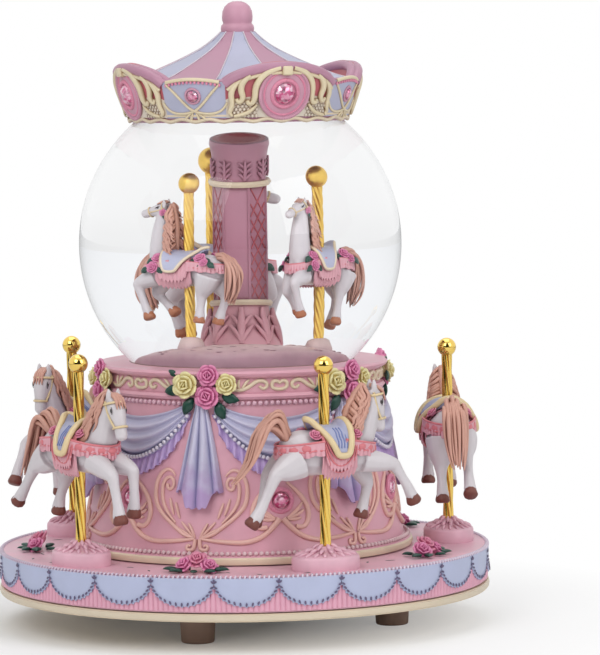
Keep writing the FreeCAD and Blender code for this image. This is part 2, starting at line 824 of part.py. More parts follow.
def make_motor():
    x, y = spot(pinion_circle, PINION_ANGLE)
    case = cylinder("motor_case", dim.motor_radius, deck_top, deck_top + dim.motor_height, x, y)
    cap = cylinder("motor_cap", dim.motor_cap_radius, deck_top + dim.motor_height,
                   deck_top + dim.motor_height + dim.motor_cap_height, x, y)
    shaft_room = cylinder("motor_shaft_room", dim.pinion_shaft_radius + dim.running_fit, deck_top,
                          deck_top + dim.pinion_shaft_hold + dim.running_gap, x, y)
    holes = [cylinder(f"motor_thread_{number}", dim.deck_screw_radius + dim.glue_gap, deck_top,
                      deck_screw_top + dim.running_gap, hole_x, hole_y)
             for number, (hole_x, hole_y) in enumerate(motor_screw_places())]
    named("gear_motor", cut("gear_motor", fused("motor_whole", [case, cap]),
                            fused("motor_holes", [shaft_room] + holes)))


def make_receiver():
    stand = box("receiver_stand", dim.receiver_width, dim.receiver_depth, deck_top,
                deck_top + dim.receiver_height, 0, 0 - dim.receiver_circle)
    eye = sphere("receiver_eye", dim.receiver_depth / 2, 0,
                 0 - dim.receiver_circle - dim.receiver_depth / 2,
                 deck_top + dim.receiver_height - dim.receiver_depth / 2)
    named("ir_receiver", linked("receiver_placed", fused("receiver_whole", [stand, eye]), GEM_START))


# Drum and its ornaments

drum_waist = drum_bottom + dim.drum_waist_height
shelf_bottom = drum_top - dim.seat_depth - dim.seat_shelf
shelf_bore = dim.neck_radius + dim.running_gap
seat_bore = shelf_bore + dim.gasket_width + dim.glue_gap
drum_under_wall = dim.drum_high_radius - dim.drum_wall


def drum_outline(inner):
    """The drum's section: its outside, closed by the points given for the inside."""
    ledge = drum_top - dim.ledge_drop
    lip = drum_top - dim.lip_height
    return [
        (dim.drum_foot_radius, drum_bottom),
        (dim.drum_foot_radius, drum_bottom + dim.drum_foot_height),
        (dim.drum_low_radius, drum_bottom + dim.drum_foot_height, dim.drum_flare_radius, 1),
        (dim.drum_high_radius, drum_waist),
        (dim.drum_high_radius, ledge),
        (dim.ledge_radius, ledge),
        (dim.ledge_radius, ledge + dim.ledge_height),
        (dim.frieze_radius, ledge + dim.ledge_height),
        (dim.frieze_radius, lip),
        (dim.lip_radius, lip),
        (dim.lip_radius, drum_top),
    ] + inner


def make_drum():
    inside = [
        (seat_bore, drum_top),
        (seat_bore, drum_top - dim.seat_depth),
        (shelf_bore, drum_top - dim.seat_depth),
        (shelf_bore, shelf_bottom),
        (drum_under_wall, shelf_bottom),
        (step_radius, deck_top + dim.drum_step),
        (step_radius, deck_top),
        (drum_bore, deck_top),
        (drum_bore, drum_bottom),
    ]
    shell = turned("drum_turned", drum_outline(inside))
    screws = countersunk("drum_threads", deck_screw_places(), dim.glue_gap, deck_screw_top + dim.running_gap)
    seats = ring_of("drum_gem_seats", spoke("drum_gem_seat", dim.drum_gem_radius + dim.glue_gap,
                                            gem_back(), dim.drum_foot_radius, gem_height()),
                    SECTORS, GEM_START)
    named("drum_shell", cut("drum_shell", shell, fused("drum_holes", [screws, seats])))


def gem_height():
    return drum_bottom + dim.drum_gem_height


def drum_surface(height):
    """About how far the drum's wall is from the axis at a height over its foot."""
    share = (height - dim.drum_foot_height) / (dim.drum_waist_height - dim.drum_foot_height)
    return dim.drum_low_radius - (dim.drum_low_radius - dim.drum_high_radius) * share


def gem_back():
    return drum_surface(dim.drum_gem_height) - dim.gem_seat_depth * 2


def make_drum_gems():
    front = drum_surface(dim.drum_gem_height) + dim.gem_seat_depth
    stone = fused("drum_gem", [
        spoke("drum_gem_girdle", dim.drum_gem_radius, gem_back(), front, gem_height()),
        crown("drum_gem_crown", dim.drum_gem_radius, front, front + dim.gem_crown, gem_height())])
    named("drum_gems", ring_of("drum_gem_ring", stone, SECTORS, GEM_START))


def arc_edge(start, middle, end):
    return Part.Arc(Vector(*start), Vector(*middle), Vector(*end)).toShape()


def line_edge(start, end):
    return Part.LineSegment(Vector(*start), Vector(*end)).toShape()


def curtain(name, edges):
    """A flat outline on the front, drawn in x and z, pushed out past the drum."""
    reach = dim.drum_foot_radius.value + dim.swag_bulge.value
    solid = Part.Face(Part.Wire(edges)).extrude(Vector(0, -reach, 0))
    return shaped(name, solid)


def make_drapes_and_roses():
    core = turned("drum_core", drum_outline([(0, drum_top), (0, drum_bottom)]))
    bottom, top = drum_bottom.value, drum_bottom.value + dim.swag_top_height.value
    cloth = cut("drape_layer", turned("drape_turned", [
        (0, drum_bottom + dim.tail_bottom_height),
        (drum_surface(dim.tail_bottom_height) + dim.swag_bulge / 2, drum_bottom + dim.tail_bottom_height),
        (drum_surface(dim.swag_bottom_height) + dim.swag_bulge, drum_bottom + dim.swag_bottom_height),
        (drum_surface(dim.swag_dip) + dim.swag_bulge, drum_bottom + dim.swag_dip),
        (dim.drum_high_radius + dim.swag_bulge / 4, drum_bottom + dim.swag_top_height),
        (0, drum_bottom + dim.swag_top_height)]), core)
    roses = []
    places = ((-1, 0, 0.95), (0, 0.35, 1.05), (0, -1.0, 1.0), (1, -0.3, 0.95))
    for number, (across, up, swell) in enumerate(places):
        x = dim.cluster_spread * across
        z = drum_bottom + dim.cluster_height + dim.cluster_spread * up
        roses.append(sphere(f"drum_rose_{number}", dim.drum_rose_radius * swell, x, 0 - dim.ledge_radius, z))
    cluster = cut("rose_cluster", fused("rose_balls", roses), core)
    rose_ring = ring_of("rose_ring", cluster, SECTORS, CLUSTER_START)

    half, dip = dim.swag_half_width.value, bottom + dim.swag_dip.value
    low = bottom + dim.swag_bottom_height.value
    sides = top - dim.drum_rose_radius.value
    swag_edges = [
        arc_edge((-half, 0, top), (0, 0, dip), (half, 0, top)),
        line_edge((half, 0, top), (half, 0, sides)),
        arc_edge((half, 0, sides), (0, 0, low), (-half, 0, sides)),
        line_edge((-half, 0, sides), (-half, 0, top))]
    wide, narrow = dim.tail_half_width.value, dim.tail_top_half_width.value
    tail_top, tail_low = bottom + dim.tail_top_height.value, bottom + dim.tail_bottom_height.value
    bulge = tail_low + dim.tail_half_width.value
    tail_edges = [
        line_edge((-narrow, 0, tail_top), (narrow, 0, tail_top)),
        line_edge((narrow, 0, tail_top), (wide, 0, bulge)),
        arc_edge((wide, 0, bulge), (0, 0, tail_low), (-wide, 0, bulge)),
        line_edge((-wide, 0, bulge), (-narrow, 0, tail_top))]
    tail = cut("tail", common("tail_block", cloth, curtain("tail_curtain", tail_edges)),
               linked("tail_rose", cluster, 0))
    tail_ring = ring_of("tail_ring", tail, SECTORS, CLUSTER_START)
    half_sector = 180 / SECTORS
    neighbours = fused("swag_neighbours", [
        linked(f"neighbour_{piece.Name}_{side}", piece, half_sector * side)
        for piece in (cluster, tail) for side in (-1, 1)])
    swag = cut("swag", common("swag_block", cloth, curtain("swag_curtain", swag_edges)), neighbours)
    named("drum_roses", rose_ring)
    named("drum_tails", tail_ring)
    named("drum_swags", ring_of("swag_ring", swag, SECTORS, GEM_START))


# Globe, its closure and the inner carousel

# How far up into the ball the neck reaches, as a share of the height at which they meet
NECK_OVERLAP = 0.9


def make_globe():
    neck_top = globe_centre - NECK_OVERLAP * root(globe_room * globe_room - dim.neck_radius * dim.neck_radius)
    outside = fused("globe_outside", [
        sphere("globe_ball", dim.globe_radius, z=globe_centre),
        cylinder("globe_neck", dim.neck_radius, neck_bottom, neck_top)])
    inside = fused("globe_inside", [
        sphere("globe_room", globe_room, z=globe_centre),
        cylinder("globe_neck_bore", neck_bore, neck_bottom - dim.neck_drop, neck_top)])
    named("globe", cut("globe", outside, inside))


def make_gasket():
    slope = seat_radius / seat_fall
    inner, outer = shelf_bore + dim.glue_gap, seat_bore - dim.glue_gap
    touch = globe_centre - seat_fall - dim.glue_gap
    bottom = drum_top - dim.seat_depth
    named("globe_gasket", turned("globe_gasket", [
        (inner, bottom),
        (outer, bottom),
        (outer, touch + (outer - seat_radius) * slope),
        (inner, touch + (inner - seat_radius) * slope)]))


def make_plug():
    body = neck_bore - dim.glue_gap
    flange = dim.neck_radius
    bore = dim.drive_shaft_radius + 2 * dim.running_fit
    seal_room = dim.seal_radius + dim.glue_gap
    named("globe_plug", turned("globe_plug", [
        (bore, light_ceiling),
        (light_cavity_radius, light_ceiling),
        (light_cavity_radius, plug_bottom),
        (flange, plug_bottom),
        (flange, neck_bottom - dim.glue_gap),
        (body, neck_bottom - dim.glue_gap),
        (body, plug_top),
        (seal_room, plug_top),
        (seal_room, plug_top - dim.seal_height),
        (bore, plug_top - dim.seal_height)]))
    seal = cylinder("seal_outside", dim.seal_radius, plug_top - dim.seal_height, plug_top)
    seal_bore = cylinder("seal_bore", dim.drive_shaft_radius + dim.running_fit,
                         plug_top - dim.seal_height, plug_top)
    named("shaft_seal", cut("shaft_seal", seal, seal_bore))


def make_light_board():
    top = plug_bottom + dim.board_thickness
    sheet_disc = cylinder("light_sheet", light_cavity_radius - dim.glue_gap, plug_bottom, top)
    light = cylinder("light", dim.light_radius, top, light_ceiling - dim.running_gap,
                     0, 0 - dim.light_circle)
    hole = cylinder("light_hole", dim.drive_shaft_radius * 2, plug_bottom, light_ceiling)
    whole = fused("light_whole", [sheet_disc, ring_of("lights", light, LIGHTS, 0)])
    named("led_board", cut("led_board", whole, hole))


def make_turntable():
    edge = turntable_bottom + dim.turntable_edge
    shaft_room = dim.drive_shaft_radius + dim.glue_gap
    shaft_top = turntable_top - dim.turntable_edge + dim.glue_gap
    mound = turned("turntable_mound", [
        (shaft_room, turntable_bottom),
        (turntable_radius, turntable_bottom),
        (turntable_radius, edge, dim.turntable_shoulder, -1),
        (dim.turntable_crown_radius, turntable_top),
        (0, turntable_top),
        (0, shaft_top),
        (shaft_room, shaft_top)])
    pedestal = cone("inner_pedestal", dim.inner_pedestal_radius, dim.inner_pedestal_top_radius,
                    turntable_top - dim.turntable_edge, turntable_top + dim.inner_pedestal_height,
                    0, 0 - dim.inner_pole_circle)
    pedestals = ring_of("inner_pedestals", pedestal, INNER_HORSES, INNER_START)
    socket = cylinder("inner_socket", dim.inner_pole_radius + dim.glue_gap,
                      turntable_top - dim.inner_socket_depth, turntable_top + dim.inner_pedestal_height,
                      0, 0 - dim.inner_pole_circle)
    sockets = ring_of("inner_sockets", socket, INNER_HORSES, INNER_START)
    named("inner_turntable", cut("inner_turntable", fused("turntable_whole", [mound, pedestals]), sockets))


def make_column():
    foot_top = turntable_top + dim.column_foot_height
    shaft_top = foot_top + dim.column_height
    top = shaft_top + dim.capital_height
    foot = cone("column_foot", dim.column_foot_radius, dim.column_radius, turntable_top, foot_top)
    shaft = doc.addObject("Part::Prism", "column_shaft")
    shaft.Polygon = 6
    bind(shaft, Circumradius=dim.column_radius, Height=dim.column_height)
    put(shaft, 0, 0, foot_top)
    rings = [cylinder(f"column_ring_{number}", dim.column_ring_radius, height - dim.column_ring / 2,
                      height + dim.column_ring / 2)
             for number, height in enumerate((foot_top, shaft_top))]
    capital = cone("column_capital", dim.column_radius, dim.capital_radius, shaft_top, top)
    recess = cone("column_recess", dim.recess_floor_radius, dim.recess_mouth_radius,
                  top - dim.capital_recess, top)
    named("inner_column", cut("inner_column", fused("column_whole", [foot, shaft, capital] + rings), recess))


# Horses, poles and pedestals
# A horse stands at the origin of its own axes: forward, left and up from the middle of its body.

BODY = ((-14.2, 1.2), (-10.4, 0.8), (0.0, -0.2), (10.4, 0.4), (14.0, 0.8))
BODY_RADII = (6.6, 8.1, 7.3, 8.3, 6.6)
SADDLE = ((-6.5, 0.3), (0.0, -0.1), (6.0, 0.2))
SADDLE_RADII = (8.7, 8.4, 8.8)
LEG_SPREAD = 4.4
FORELEG_RADII = (4.3, 2.4, 1.7, 2.2)
HINDLEG_RADII = (5.6, 2.7, 1.8, 2.3)
NECK_RADII = (6.2, 4.4, 3.6)
HEAD_RADII = (3.9, 3.3, 2.2)
EAR = ((0.0, 1.2), (0.3, 4.4), (0.5, 6.2))
EAR_RADII = (1.4, 1.1, 0.4)
EAR_SPREAD = 1.9
MANE_RADII = (2.2, 2.9, 2.6, 1.6)
TAIL_RADII = (2.0, 2.9, 3.1, 2.6, 1.1)
FORELEG_ROOT = (13.5, -3.5)
HINDLEG_ROOT = (-12.0, -3.0)
LIMB_SIDES = 12
FACET_PHASE = 0.37
END_REACH = 0.6
END_SHRINK = 0.62

POSES = {
    "leaping": {
        "right_foreleg": ((25.0, -4.5), (30.4, -13.0), (32.0, -16.6)),
        "left_foreleg": ((18.5, -12.0), (17.0, -18.5), (16.2, -21.6)),
        "right_hindleg": ((-20.5, -6.0), (-26.6, -18.6), (-29.0, -21.8)),
        "left_hindleg": ((-20.0, -7.0), (-23.0, -19.6), (-24.4, -22.2)),
        "neck": ((12.5, 3.0), (17.0, 14.5), (18.0, 20.4)),
        "head": ((18.6, 20.6), (20.4, 14.6), (20.2, 8.2)),
        "mane": ((16.0, 24.0), (11.6, 19.0), (9.0, 13.0), (7.0, 8.4)),
        "tail": ((-16.0, 6.0), (-21.0, 11.0), (-26.0, 5.0), (-29.6, -3.0), (-33.4, -7.4)),
    },
    "cantering": {
        "right_foreleg": ((24.6, -7.0), (27.6, -17.6), (28.6, -21.4)),
        "left_foreleg": ((25.4, -5.6), (26.0, -16.0), (25.6, -19.8)),
        "right_hindleg": ((-21.0, -7.0), (-28.0, -16.0), (-30.6, -19.2)),
        "left_hindleg": ((-14.5, -12.0), (-18.0, -19.0), (-18.6, -22.2)),
        "neck": ((12.5, 3.0), (17.6, 13.0), (19.6, 18.4)),
        "head": ((20.2, 18.4), (23.0, 12.6), (23.8, 6.4)),
        "mane": ((17.2, 22.4), (12.6, 18.0), (9.6, 12.6), (7.2, 8.4)),
        "tail": ((-16.0, 6.0), (-21.0, 10.0), (-25.0, 3.0), (-28.0, -5.0), (-31.4, -10.0)),
    },
    "prancing": {
        "right_foreleg": ((21.0, -7.4), (22.6, -17.0), (23.4, -20.6)),
        "left_foreleg": ((18.4, -11.0), (14.4, -17.4), (12.6, -20.4)),
        "right_hindleg": ((-18.6, -8.0), (-17.4, -17.6), (-18.0, -21.2)),
        "left_hindleg": ((-15.0, -11.0), (-11.0, -18.2), (-11.4, -21.6)),
        "neck": ((11.0, 4.0), (13.2, 15.0), (13.6, 20.6)),
        "head": ((13.8, 21.0), (18.6, 20.4), (23.4, 18.2)),
        "mane": ((11.6, 24.2), (8.4, 19.0), (7.0, 13.0), (6.0, 8.4)),
        "tail": ((-16.0, 6.0), (-20.0, 8.6), (-22.6, 2.0), (-22.4, -6.0), (-20.8, -12.0)),
    },
}
LEGS = {
    "right_foreleg": (-1, FORELEG_ROOT, FORELEG_RADII),
    "left_foreleg": (1, FORELEG_ROOT, FORELEG_RADII),
    "right_hindleg": (-1, HINDLEG_ROOT, HINDLEG_RADII),
    "left_hindleg": (1, HINDLEG_ROOT, HINDLEG_RADII),
}
RIDGES = {"neck": NECK_RADII, "head": HEAD_RADII, "mane": MANE_RADII, "tail": TAIL_RADII}


def limb(points, radii):
    """A tapering limb of flat facets: a ring at each joint, and a smaller one beyond each end."""
    runs = [(after - before).normalize() for before, after in zip(points, points[1:])]
    ahead = [runs[0]] + [(before + after).normalize() for before, after in zip(runs, runs[1:])] + [runs[-1]]
    stations = [(points[0] - ahead[0] * radii[0] * END_REACH, radii[0] * END_SHRINK, ahead[0])]
    stations += zip(points, radii, ahead)
    stations.append((points[-1] + ahead[-1] * radii[-1] * END_REACH, radii[-1] * END_SHRINK, ahead[-1]))
    rings = []
    for middle, radius, along in stations:
        across = Vector(0, 1, 0)
        upright = along.cross(across)
        ring = []
        for number in range(LIMB_SIDES):
            turn = 2 * math.pi * (number + FACET_PHASE) / LIMB_SIDES
            ring.append(middle + across * (radius * math.cos(turn)) + upright * (radius * math.sin(turn)))
        rings.append(ring)
    faces = [Part.Face(Part.makePolygon(ring + ring[:1])) for ring in (rings[0], rings[-1])]
    for low, high in zip(rings, rings[1:]):
        for here in range(LIMB_SIDES):
            there = (here + 1) % LIMB_SIDES
            for corners in ((low[here], low[there], high[there]), (low[here], high[there], high[here])):
                faces.append(Part.Face(Part.makePolygon([*corners, corners[0]])))
    solid = Part.Solid(Part.Shell(faces))
    if solid.Volume < 0:
        solid.reverse()
    return solid


def horse_solid(pose, scale, bore):
    def chain(points, side=0.0):
        return [Vector(forward, side, up) * scale for forward, up in points]

    def sized(radii):
        return [radius * scale for radius in radii]

    solids = [limb(chain(BODY), sized(BODY_RADII)), limb(chain(SADDLE), sized(SADDLE_RADII))]
    solids += [limb(chain(POSES[pose][name]), sized(radii)) for name, radii in RIDGES.items()]
    poll = POSES[pose]["head"][0]
    for side in (-1, 1):
        ear = [(poll[0] + forward, poll[1] + up) for forward, up in EAR]
        solids.append(limb(chain(ear, EAR_SPREAD * side), sized(EAR_RADII)))
    for name, (side, hip, radii) in LEGS.items():
        solids.append(limb(chain((hip,) + POSES[pose][name], LEG_SPREAD * side), sized(radii)))
    whole = solids[0].fuse(solids[1:])
    tall = BODY_RADII[0] * 4 * scale
    return whole.cut(Part.makeCylinder(bore, tall, Vector(0, 0, -tall / 2)))


def make_outer_ring():
    tier_top = platform_top + dim.pedestal_tier
    dome_top = tier_top + dim.pedestal_dome
    top = dome_top + dim.pedestal_collar
    oval = doc.addObject("Part::Ellipse", "pedestal_oval")
    bind(oval, MajorRadius=dim.pedestal_length / 2, MinorRadius=dim.pedestal_width / 2)
    put(oval, 0, 0 - pole_circle, platform_top)
    tier = doc.addObject("Part::Extrusion", "pedestal_tier_block")
    tier.Base = oval
    tier.Dir = Vector(0, 0, 1)
    tier.Solid = True
    bind(tier, LengthFwd=dim.pedestal_tier)
    dome = cone("pedestal_dome_block", dim.pedestal_dome_radius, dim.pedestal_collar_radius,
                tier_top, dome_top, 0, 0 - pole_circle)
    collar = cylinder("pedestal_collar_block", dim.pedestal_collar_radius, dome_top, top,
                      0, 0 - pole_circle)
    socket = cylinder("pedestal_socket", dim.pole_radius + dim.glue_gap, top - dim.socket_depth, top,
                      0, 0 - pole_circle)
    pedestal = cut("pedestal", fused("pedestal_blocks", [tier, dome, collar]), socket)
    named("pole_pedestals", ring_of("pedestal_ring", pedestal, OUTER_HORSES, OUTER_START))

    ball = platform_top + dim.ball_height
    pole = fused("outer_pole", [
        cylinder("outer_rod", dim.pole_radius, top - dim.socket_depth, ball, 0, 0 - pole_circle),
        sphere("outer_ball", dim.ball_radius, 0, 0 - pole_circle, ball)])
    middle = (platform_top + dim.horse_height).value
    bore = (dim.pole_radius + dim.glue_gap).value
    place = Placement(Vector(0, -pole_circle.value, middle), Rotation())
    masters = {pose: shaped(f"{pose}_horse", horse_solid(pose, 1.0, bore), place)
               for pose in ("leaping", "cantering")}
    for number in range(OUTER_HORSES):
        angle = OUTER_START + 360 / OUTER_HORSES * number
        pose = ("leaping", "cantering")[number in (1, 4)]
        named(f"outer_pole_{number + 1}", linked(f"outer_pole_{number + 1}", pole, angle))
        named(f"outer_horse_{number + 1}", linked(f"outer_horse_{number + 1}", masters[pose], angle))


def make_inner_ring():
    ball = turntable_top + dim.inner_ball_height
    pole = fused("inner_pole", [
        cylinder("inner_rod", dim.inner_pole_radius, turntable_top - dim.inner_socket_depth, ball,
                 0, 0 - dim.inner_pole_circle),
        sphere("inner_ball", dim.inner_ball_radius, 0, 0 - dim.inner_pole_circle, ball)])
    bore = (dim.inner_pole_radius + dim.glue_gap).value
    middle = (turntable_top + dim.inner_horse_height).value
    facing_left = Rotation(Vector(0, 0, 1), 180)
    place = Placement(Vector(0, -dim.inner_pole_circle.value, middle), facing_left)
    horse = shaped("prancing_horse", horse_solid("prancing", dim.inner_horse_scale.value, bore), place)
    for number in range(INNER_HORSES):
        angle = INNER_START + 360 / INNER_HORSES * number
        named(f"inner_pole_{number + 1}", linked(f"inner_pole_{number + 1}", pole, angle))
        named(f"inner_horse_{number + 1}", linked(f"inner_horse_{number + 1}", horse, angle))


def make_platform():
    skirt_room = dim.platform_radius - dim.skirt_wall
    body = turned("platform_turned", [
        (hub_bore, platform_bottom),
        (hub_radius, platform_bottom),
        (hub_radius, platform_under),
        (skirt_room, platform_under),
        (skirt_room, platform_bottom),
        (dim.platform_radius, platform_bottom),
        (dim.platform_radius, platform_top),
        (hub_bore, platform_top)])
    holes = shaped("ring_screw_holes", Part.makeCompound(
        ring_screw_solids(dim.ring_screw_radius.value + dim.glue_gap.value)))
    named("platform", cut("platform", body, holes))


def make_sprays():
    blooms = [sphere("spray_rose", dim.spray_rose_radius, 0, 0 - pole_circle,
                     platform_top + dim.spray_rose_lift)]
    for side in (-1, 1):
        blooms.append(sphere(f"spray_leaf_{side + 1}", dim.spray_leaf_radius, dim.spray_leaf_reach * side,
                             0 - pole_circle, platform_top + dim.spray_leaf_lift))
    ground = cylinder("spray_ground", dim.platform_radius, platform_bottom, platform_top)
    spray = cut("spray", fused("spray_blooms", blooms), ground)
    named("platform_roses", ring_of("spray_ring", spray, OUTER_HORSES, SPRAY_START))


# Canopy and finial

def make_canopy():
    brim_top = canopy_bottom + dim.brim_height
    plaque_top = canopy_bottom + dim.plaque_height
    roof = turned("canopy_turned", [
        (0, canopy_bottom),
        (dim.canopy_foot_radius, canopy_bottom),
        (dim.brim_radius, brim_top),
        (dim.roof_edge_radius, brim_top, dim.roof_curve_radius, 1),
        (dim.roof_top_radius, canopy_top),
        (0, canopy_top)])
    thickness = dim.plaque_thickness
    band = turned("plaque_band", [
        (dim.canopy_foot_radius - thickness, canopy_bottom),
        (dim.canopy_foot_radius, canopy_bottom),
        (dim.plaque_radius, plaque_top),
        (dim.plaque_radius - thickness, plaque_top)])
    half = dim.plaque_half_width
    plaque = common("plaque", band, spoke("plaque_round", half, as_size(0), dim.plaque_radius,
                                          plaque_top - half))
    plaques = ring_of("plaques", plaque, PLAQUES, LARGE_PLAQUE_START)
    whole = fused("canopy_whole", [roof, plaques])
    ball_room = sphere("canopy_seat", dim.globe_radius + dim.glue_gap, z=globe_centre)
    peg_hole = cylinder("finial_hole", dim.finial_peg_radius + dim.glue_gap,
                        canopy_top - dim.finial_peg_length - dim.glue_gap, canopy_top)
    seats, back, far = [], dim.canopy_foot_radius - thickness / 2, base_radius
    stones = (("large", dim.large_gem_radius, dim.large_gem_height, LARGE_PLAQUE_START),
              ("small", dim.small_gem_radius, dim.small_gem_height, SMALL_PLAQUE_START))
    for name, radius, height, start in stones:
        z = canopy_bottom + height
        seat = spoke(f"{name}_gem_seat", radius + dim.glue_gap, back, far, z)
        seats.append(ring_of(f"{name}_gem_seats", seat, PLAQUES, start))
        front = dim.canopy_foot_radius + dim.canopy_gem_proud
        stone = fused(f"{name}_gem", [
            spoke(f"{name}_gem_girdle", radius, back, front, z),
            crown(f"{name}_gem_crown", radius, front, front + dim.gem_crown, z)])
        named(f"canopy_{name}_gems", ring_of(f"{name}_gem_ring", stone, PLAQUES, start))
    named("canopy", cut("canopy", whole, fused("canopy_holes", [ball_room, peg_hole] + seats)))


def make_finial():
    collar_top = canopy_top + dim.finial_collar
    top = canopy_top + dim.finial_height
    knob = top - dim.finial_knob_radius
    named("finial", fused("finial", [
        cylinder("finial_peg", dim.finial_peg_radius, canopy_top - dim.finial_peg_length, canopy_top),
        cylinder("finial_collar_ring", dim.finial_collar_radius, canopy_top, collar_top),
        cylinder("finial_neck", dim.finial_neck_radius, collar_top, knob),
        sphere("finial_knob", dim.finial_knob_radius, z=knob)]))


make_base_plate()
make_feet()
make_base_screws()
make_glides()
make_speaker()
make_control_board()
make_battery_bay()
make_battery_door()
make_power_switch()
make_ring_gear()
make_ring_screws()
make_sun_and_shaft()
make_pinion()
make_deck()
make_motor()
make_receiver()
make_drum()
make_drum_gems()
make_drapes_and_roses()
make_globe()
make_gasket()
make_plug()
make_light_board()
make_turntable()
make_column()
make_outer_ring()
make_inner_ring()
make_platform()
make_sprays()
make_canopy()
make_finial()
doc.recompute()

for made in doc.Objects:
    if "Invalid" in made.State or "Error" in made.State:
        raise RuntimeError(f"{made.Name} failed: {made.State}")

os.makedirs("parts", exist_ok=True)
shapes = {made.Label: Part.getShape(made) for made in subparts}
for label, shape in shapes.items():
    if shape.isNull() or not shape.isValid():
        raise RuntimeError(f"{label} has no valid shape")
for label, shape in shapes.items():
    shape.exportStep(f"parts/{label}.step")
print(len(shapes), "pieces")
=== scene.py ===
import math
import random
from collections import namedtuple
from contextlib import contextmanager

import bpy
from mathutils import Matrix, Vector


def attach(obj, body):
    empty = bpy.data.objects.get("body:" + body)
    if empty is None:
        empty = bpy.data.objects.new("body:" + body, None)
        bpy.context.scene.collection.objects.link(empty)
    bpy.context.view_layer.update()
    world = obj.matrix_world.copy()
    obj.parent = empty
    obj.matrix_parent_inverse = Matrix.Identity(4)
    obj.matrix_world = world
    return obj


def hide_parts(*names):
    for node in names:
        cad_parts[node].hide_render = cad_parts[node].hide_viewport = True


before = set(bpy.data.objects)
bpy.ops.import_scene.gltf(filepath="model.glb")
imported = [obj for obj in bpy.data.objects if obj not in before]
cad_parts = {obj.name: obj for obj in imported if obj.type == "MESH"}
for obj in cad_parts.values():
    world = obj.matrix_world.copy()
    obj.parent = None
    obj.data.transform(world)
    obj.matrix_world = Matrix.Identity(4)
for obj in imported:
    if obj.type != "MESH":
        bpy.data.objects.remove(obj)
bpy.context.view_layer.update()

# Pieces are modelled in millimetres, with the front towards -Y, and brought to metres when they are done.
# Angles are in degrees from the front (-Y) towards the right (+X).
MM = 0.001
dice = random.Random(7)


# Working with objects

def only(obj):
    bpy.ops.object.select_all(action="DESELECT")
    obj.select_set(True)
    bpy.context.view_layer.objects.active = obj
    return obj


@contextmanager
def editing(obj):
    """Edit mode, with the whole mesh selected."""
    only(obj)
    bpy.ops.object.mode_set(mode="EDIT")
    bpy.ops.mesh.select_all(action="SELECT")
    yield
    bpy.ops.object.mode_set(mode="OBJECT")


def weld(obj, reach=0.001):
    """Merges doubles and turns the faces outwards."""
    with editing(obj):
        bpy.ops.mesh.remove_doubles(threshold=reach)
        bpy.ops.mesh.normals_make_consistent(inside=False)
    return obj


def modified(obj, kind, **settings):
    """Adds a modifier with its settings and applies it."""
    only(obj)
    modifier = obj.modifiers.new(kind.lower(), kind)
    for name, value in settings.items():
        setattr(modifier, name, value)
    bpy.ops.object.modifier_apply(modifier=modifier.name)
    return obj


def rounded(obj, width, segments=3):
    return modified(obj, "BEVEL", width=width, segments=segments, limit_method="ANGLE",
                    angle_limit=math.radians(35))


def smooth(obj, degrees=40):
    only(obj)
    bpy.ops.object.shade_smooth_by_angle(angle=math.radians(degrees))
    return obj


def coated(obj, material):
    obj.data.materials.clear()
    obj.data.materials.append(material)
    return obj


def painted(obj, material, degrees=40):
    return smooth(coated(obj, material), degrees)


def join(objects):
    bpy.ops.object.select_all(action="DESELECT")
    for obj in objects:
        obj.select_set(True)
    bpy.context.view_layer.objects.active = objects[0]
    bpy.ops.object.join()
    return bpy.context.object


def moved(obj, matrix):
    obj.data.transform(matrix)
    return obj


def copied(obj, matrix=None):
    twin = obj.copy()
    twin.data = obj.data.copy()
    bpy.context.scene.collection.objects.link(twin)
    return moved(twin, matrix) if matrix else twin


def at(x, y, z):
    return Matrix.Translation((x, y, z))


def tilt(degrees, axis):
    return Matrix.Rotation(math.radians(degrees), 4, axis)


def turn(degrees):
    return tilt(degrees, "Z")


def evenly(count, start=0.0):
    """Angles evenly round the axis."""
    return [start + 360 / count * number for number in range(count)]


def strewn(obj, matrices):
    """Copies of one shape at many places, joined, in place of the first."""
    twins = [copied(obj, matrix) for matrix in matrices]
    bpy.data.objects.remove(obj)
    return join(twins)


def ring(obj, count, start=0.0):
    return strewn(obj, [turn(angle) for angle in evenly(count, start)])


def piece(obj, name, body, slot, *nodes):
    """Brings a finished piece to metres, names it and fixes it to its body."""
    moved(obj, Matrix.Scale(MM, 4))
    obj.name = obj.data.name = name
    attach(obj, body)
    if nodes:
        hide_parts(*nodes)


def spot(circle, degrees, height):
    angle = math.radians(degrees)
    return Vector((circle * math.sin(angle), -circle * math.cos(angle), height))


def facing(origin, along, out):
    """The matrix that lays X along one direction and Z as near as can be along another."""
    x = Vector(along).normalized()
    z = Vector(out)
    z = (z - x * z.dot(x)).normalized()
    y = z.cross(x)
    return Matrix.Translation(origin) @ Matrix((x, y, z)).transposed().to_4x4()


# Shapes that the pieces start from

def primitive(operator, **settings):
    """A mesh primitive, with its place in the mesh."""
    bpy.ops.object.select_all(action="DESELECT")
    operator(**settings)
    bpy.ops.object.transform_apply()
    return bpy.context.object


def blank_curve():
    bpy.ops.object.select_all(action="DESELECT")
    bpy.ops.curve.primitive_nurbs_path_add()
    obj = bpy.context.object
    obj.data.splines.clear()
    obj.data.dimensions = "3D"
    return obj


def as_mesh(obj):
    only(obj)
    bpy.ops.object.convert(target="MESH")
    return bpy.context.object


def outline(points, closed=True):
    """A mesh of edges through points."""
    obj = blank_curve()
    line = obj.data.splines.new("POLY")
    line.points.add(len(points) - 1)
    for point, place in zip(line.points, points):
        point.co = (*place, 1)
    line.use_cyclic_u = closed
    return as_mesh(obj)


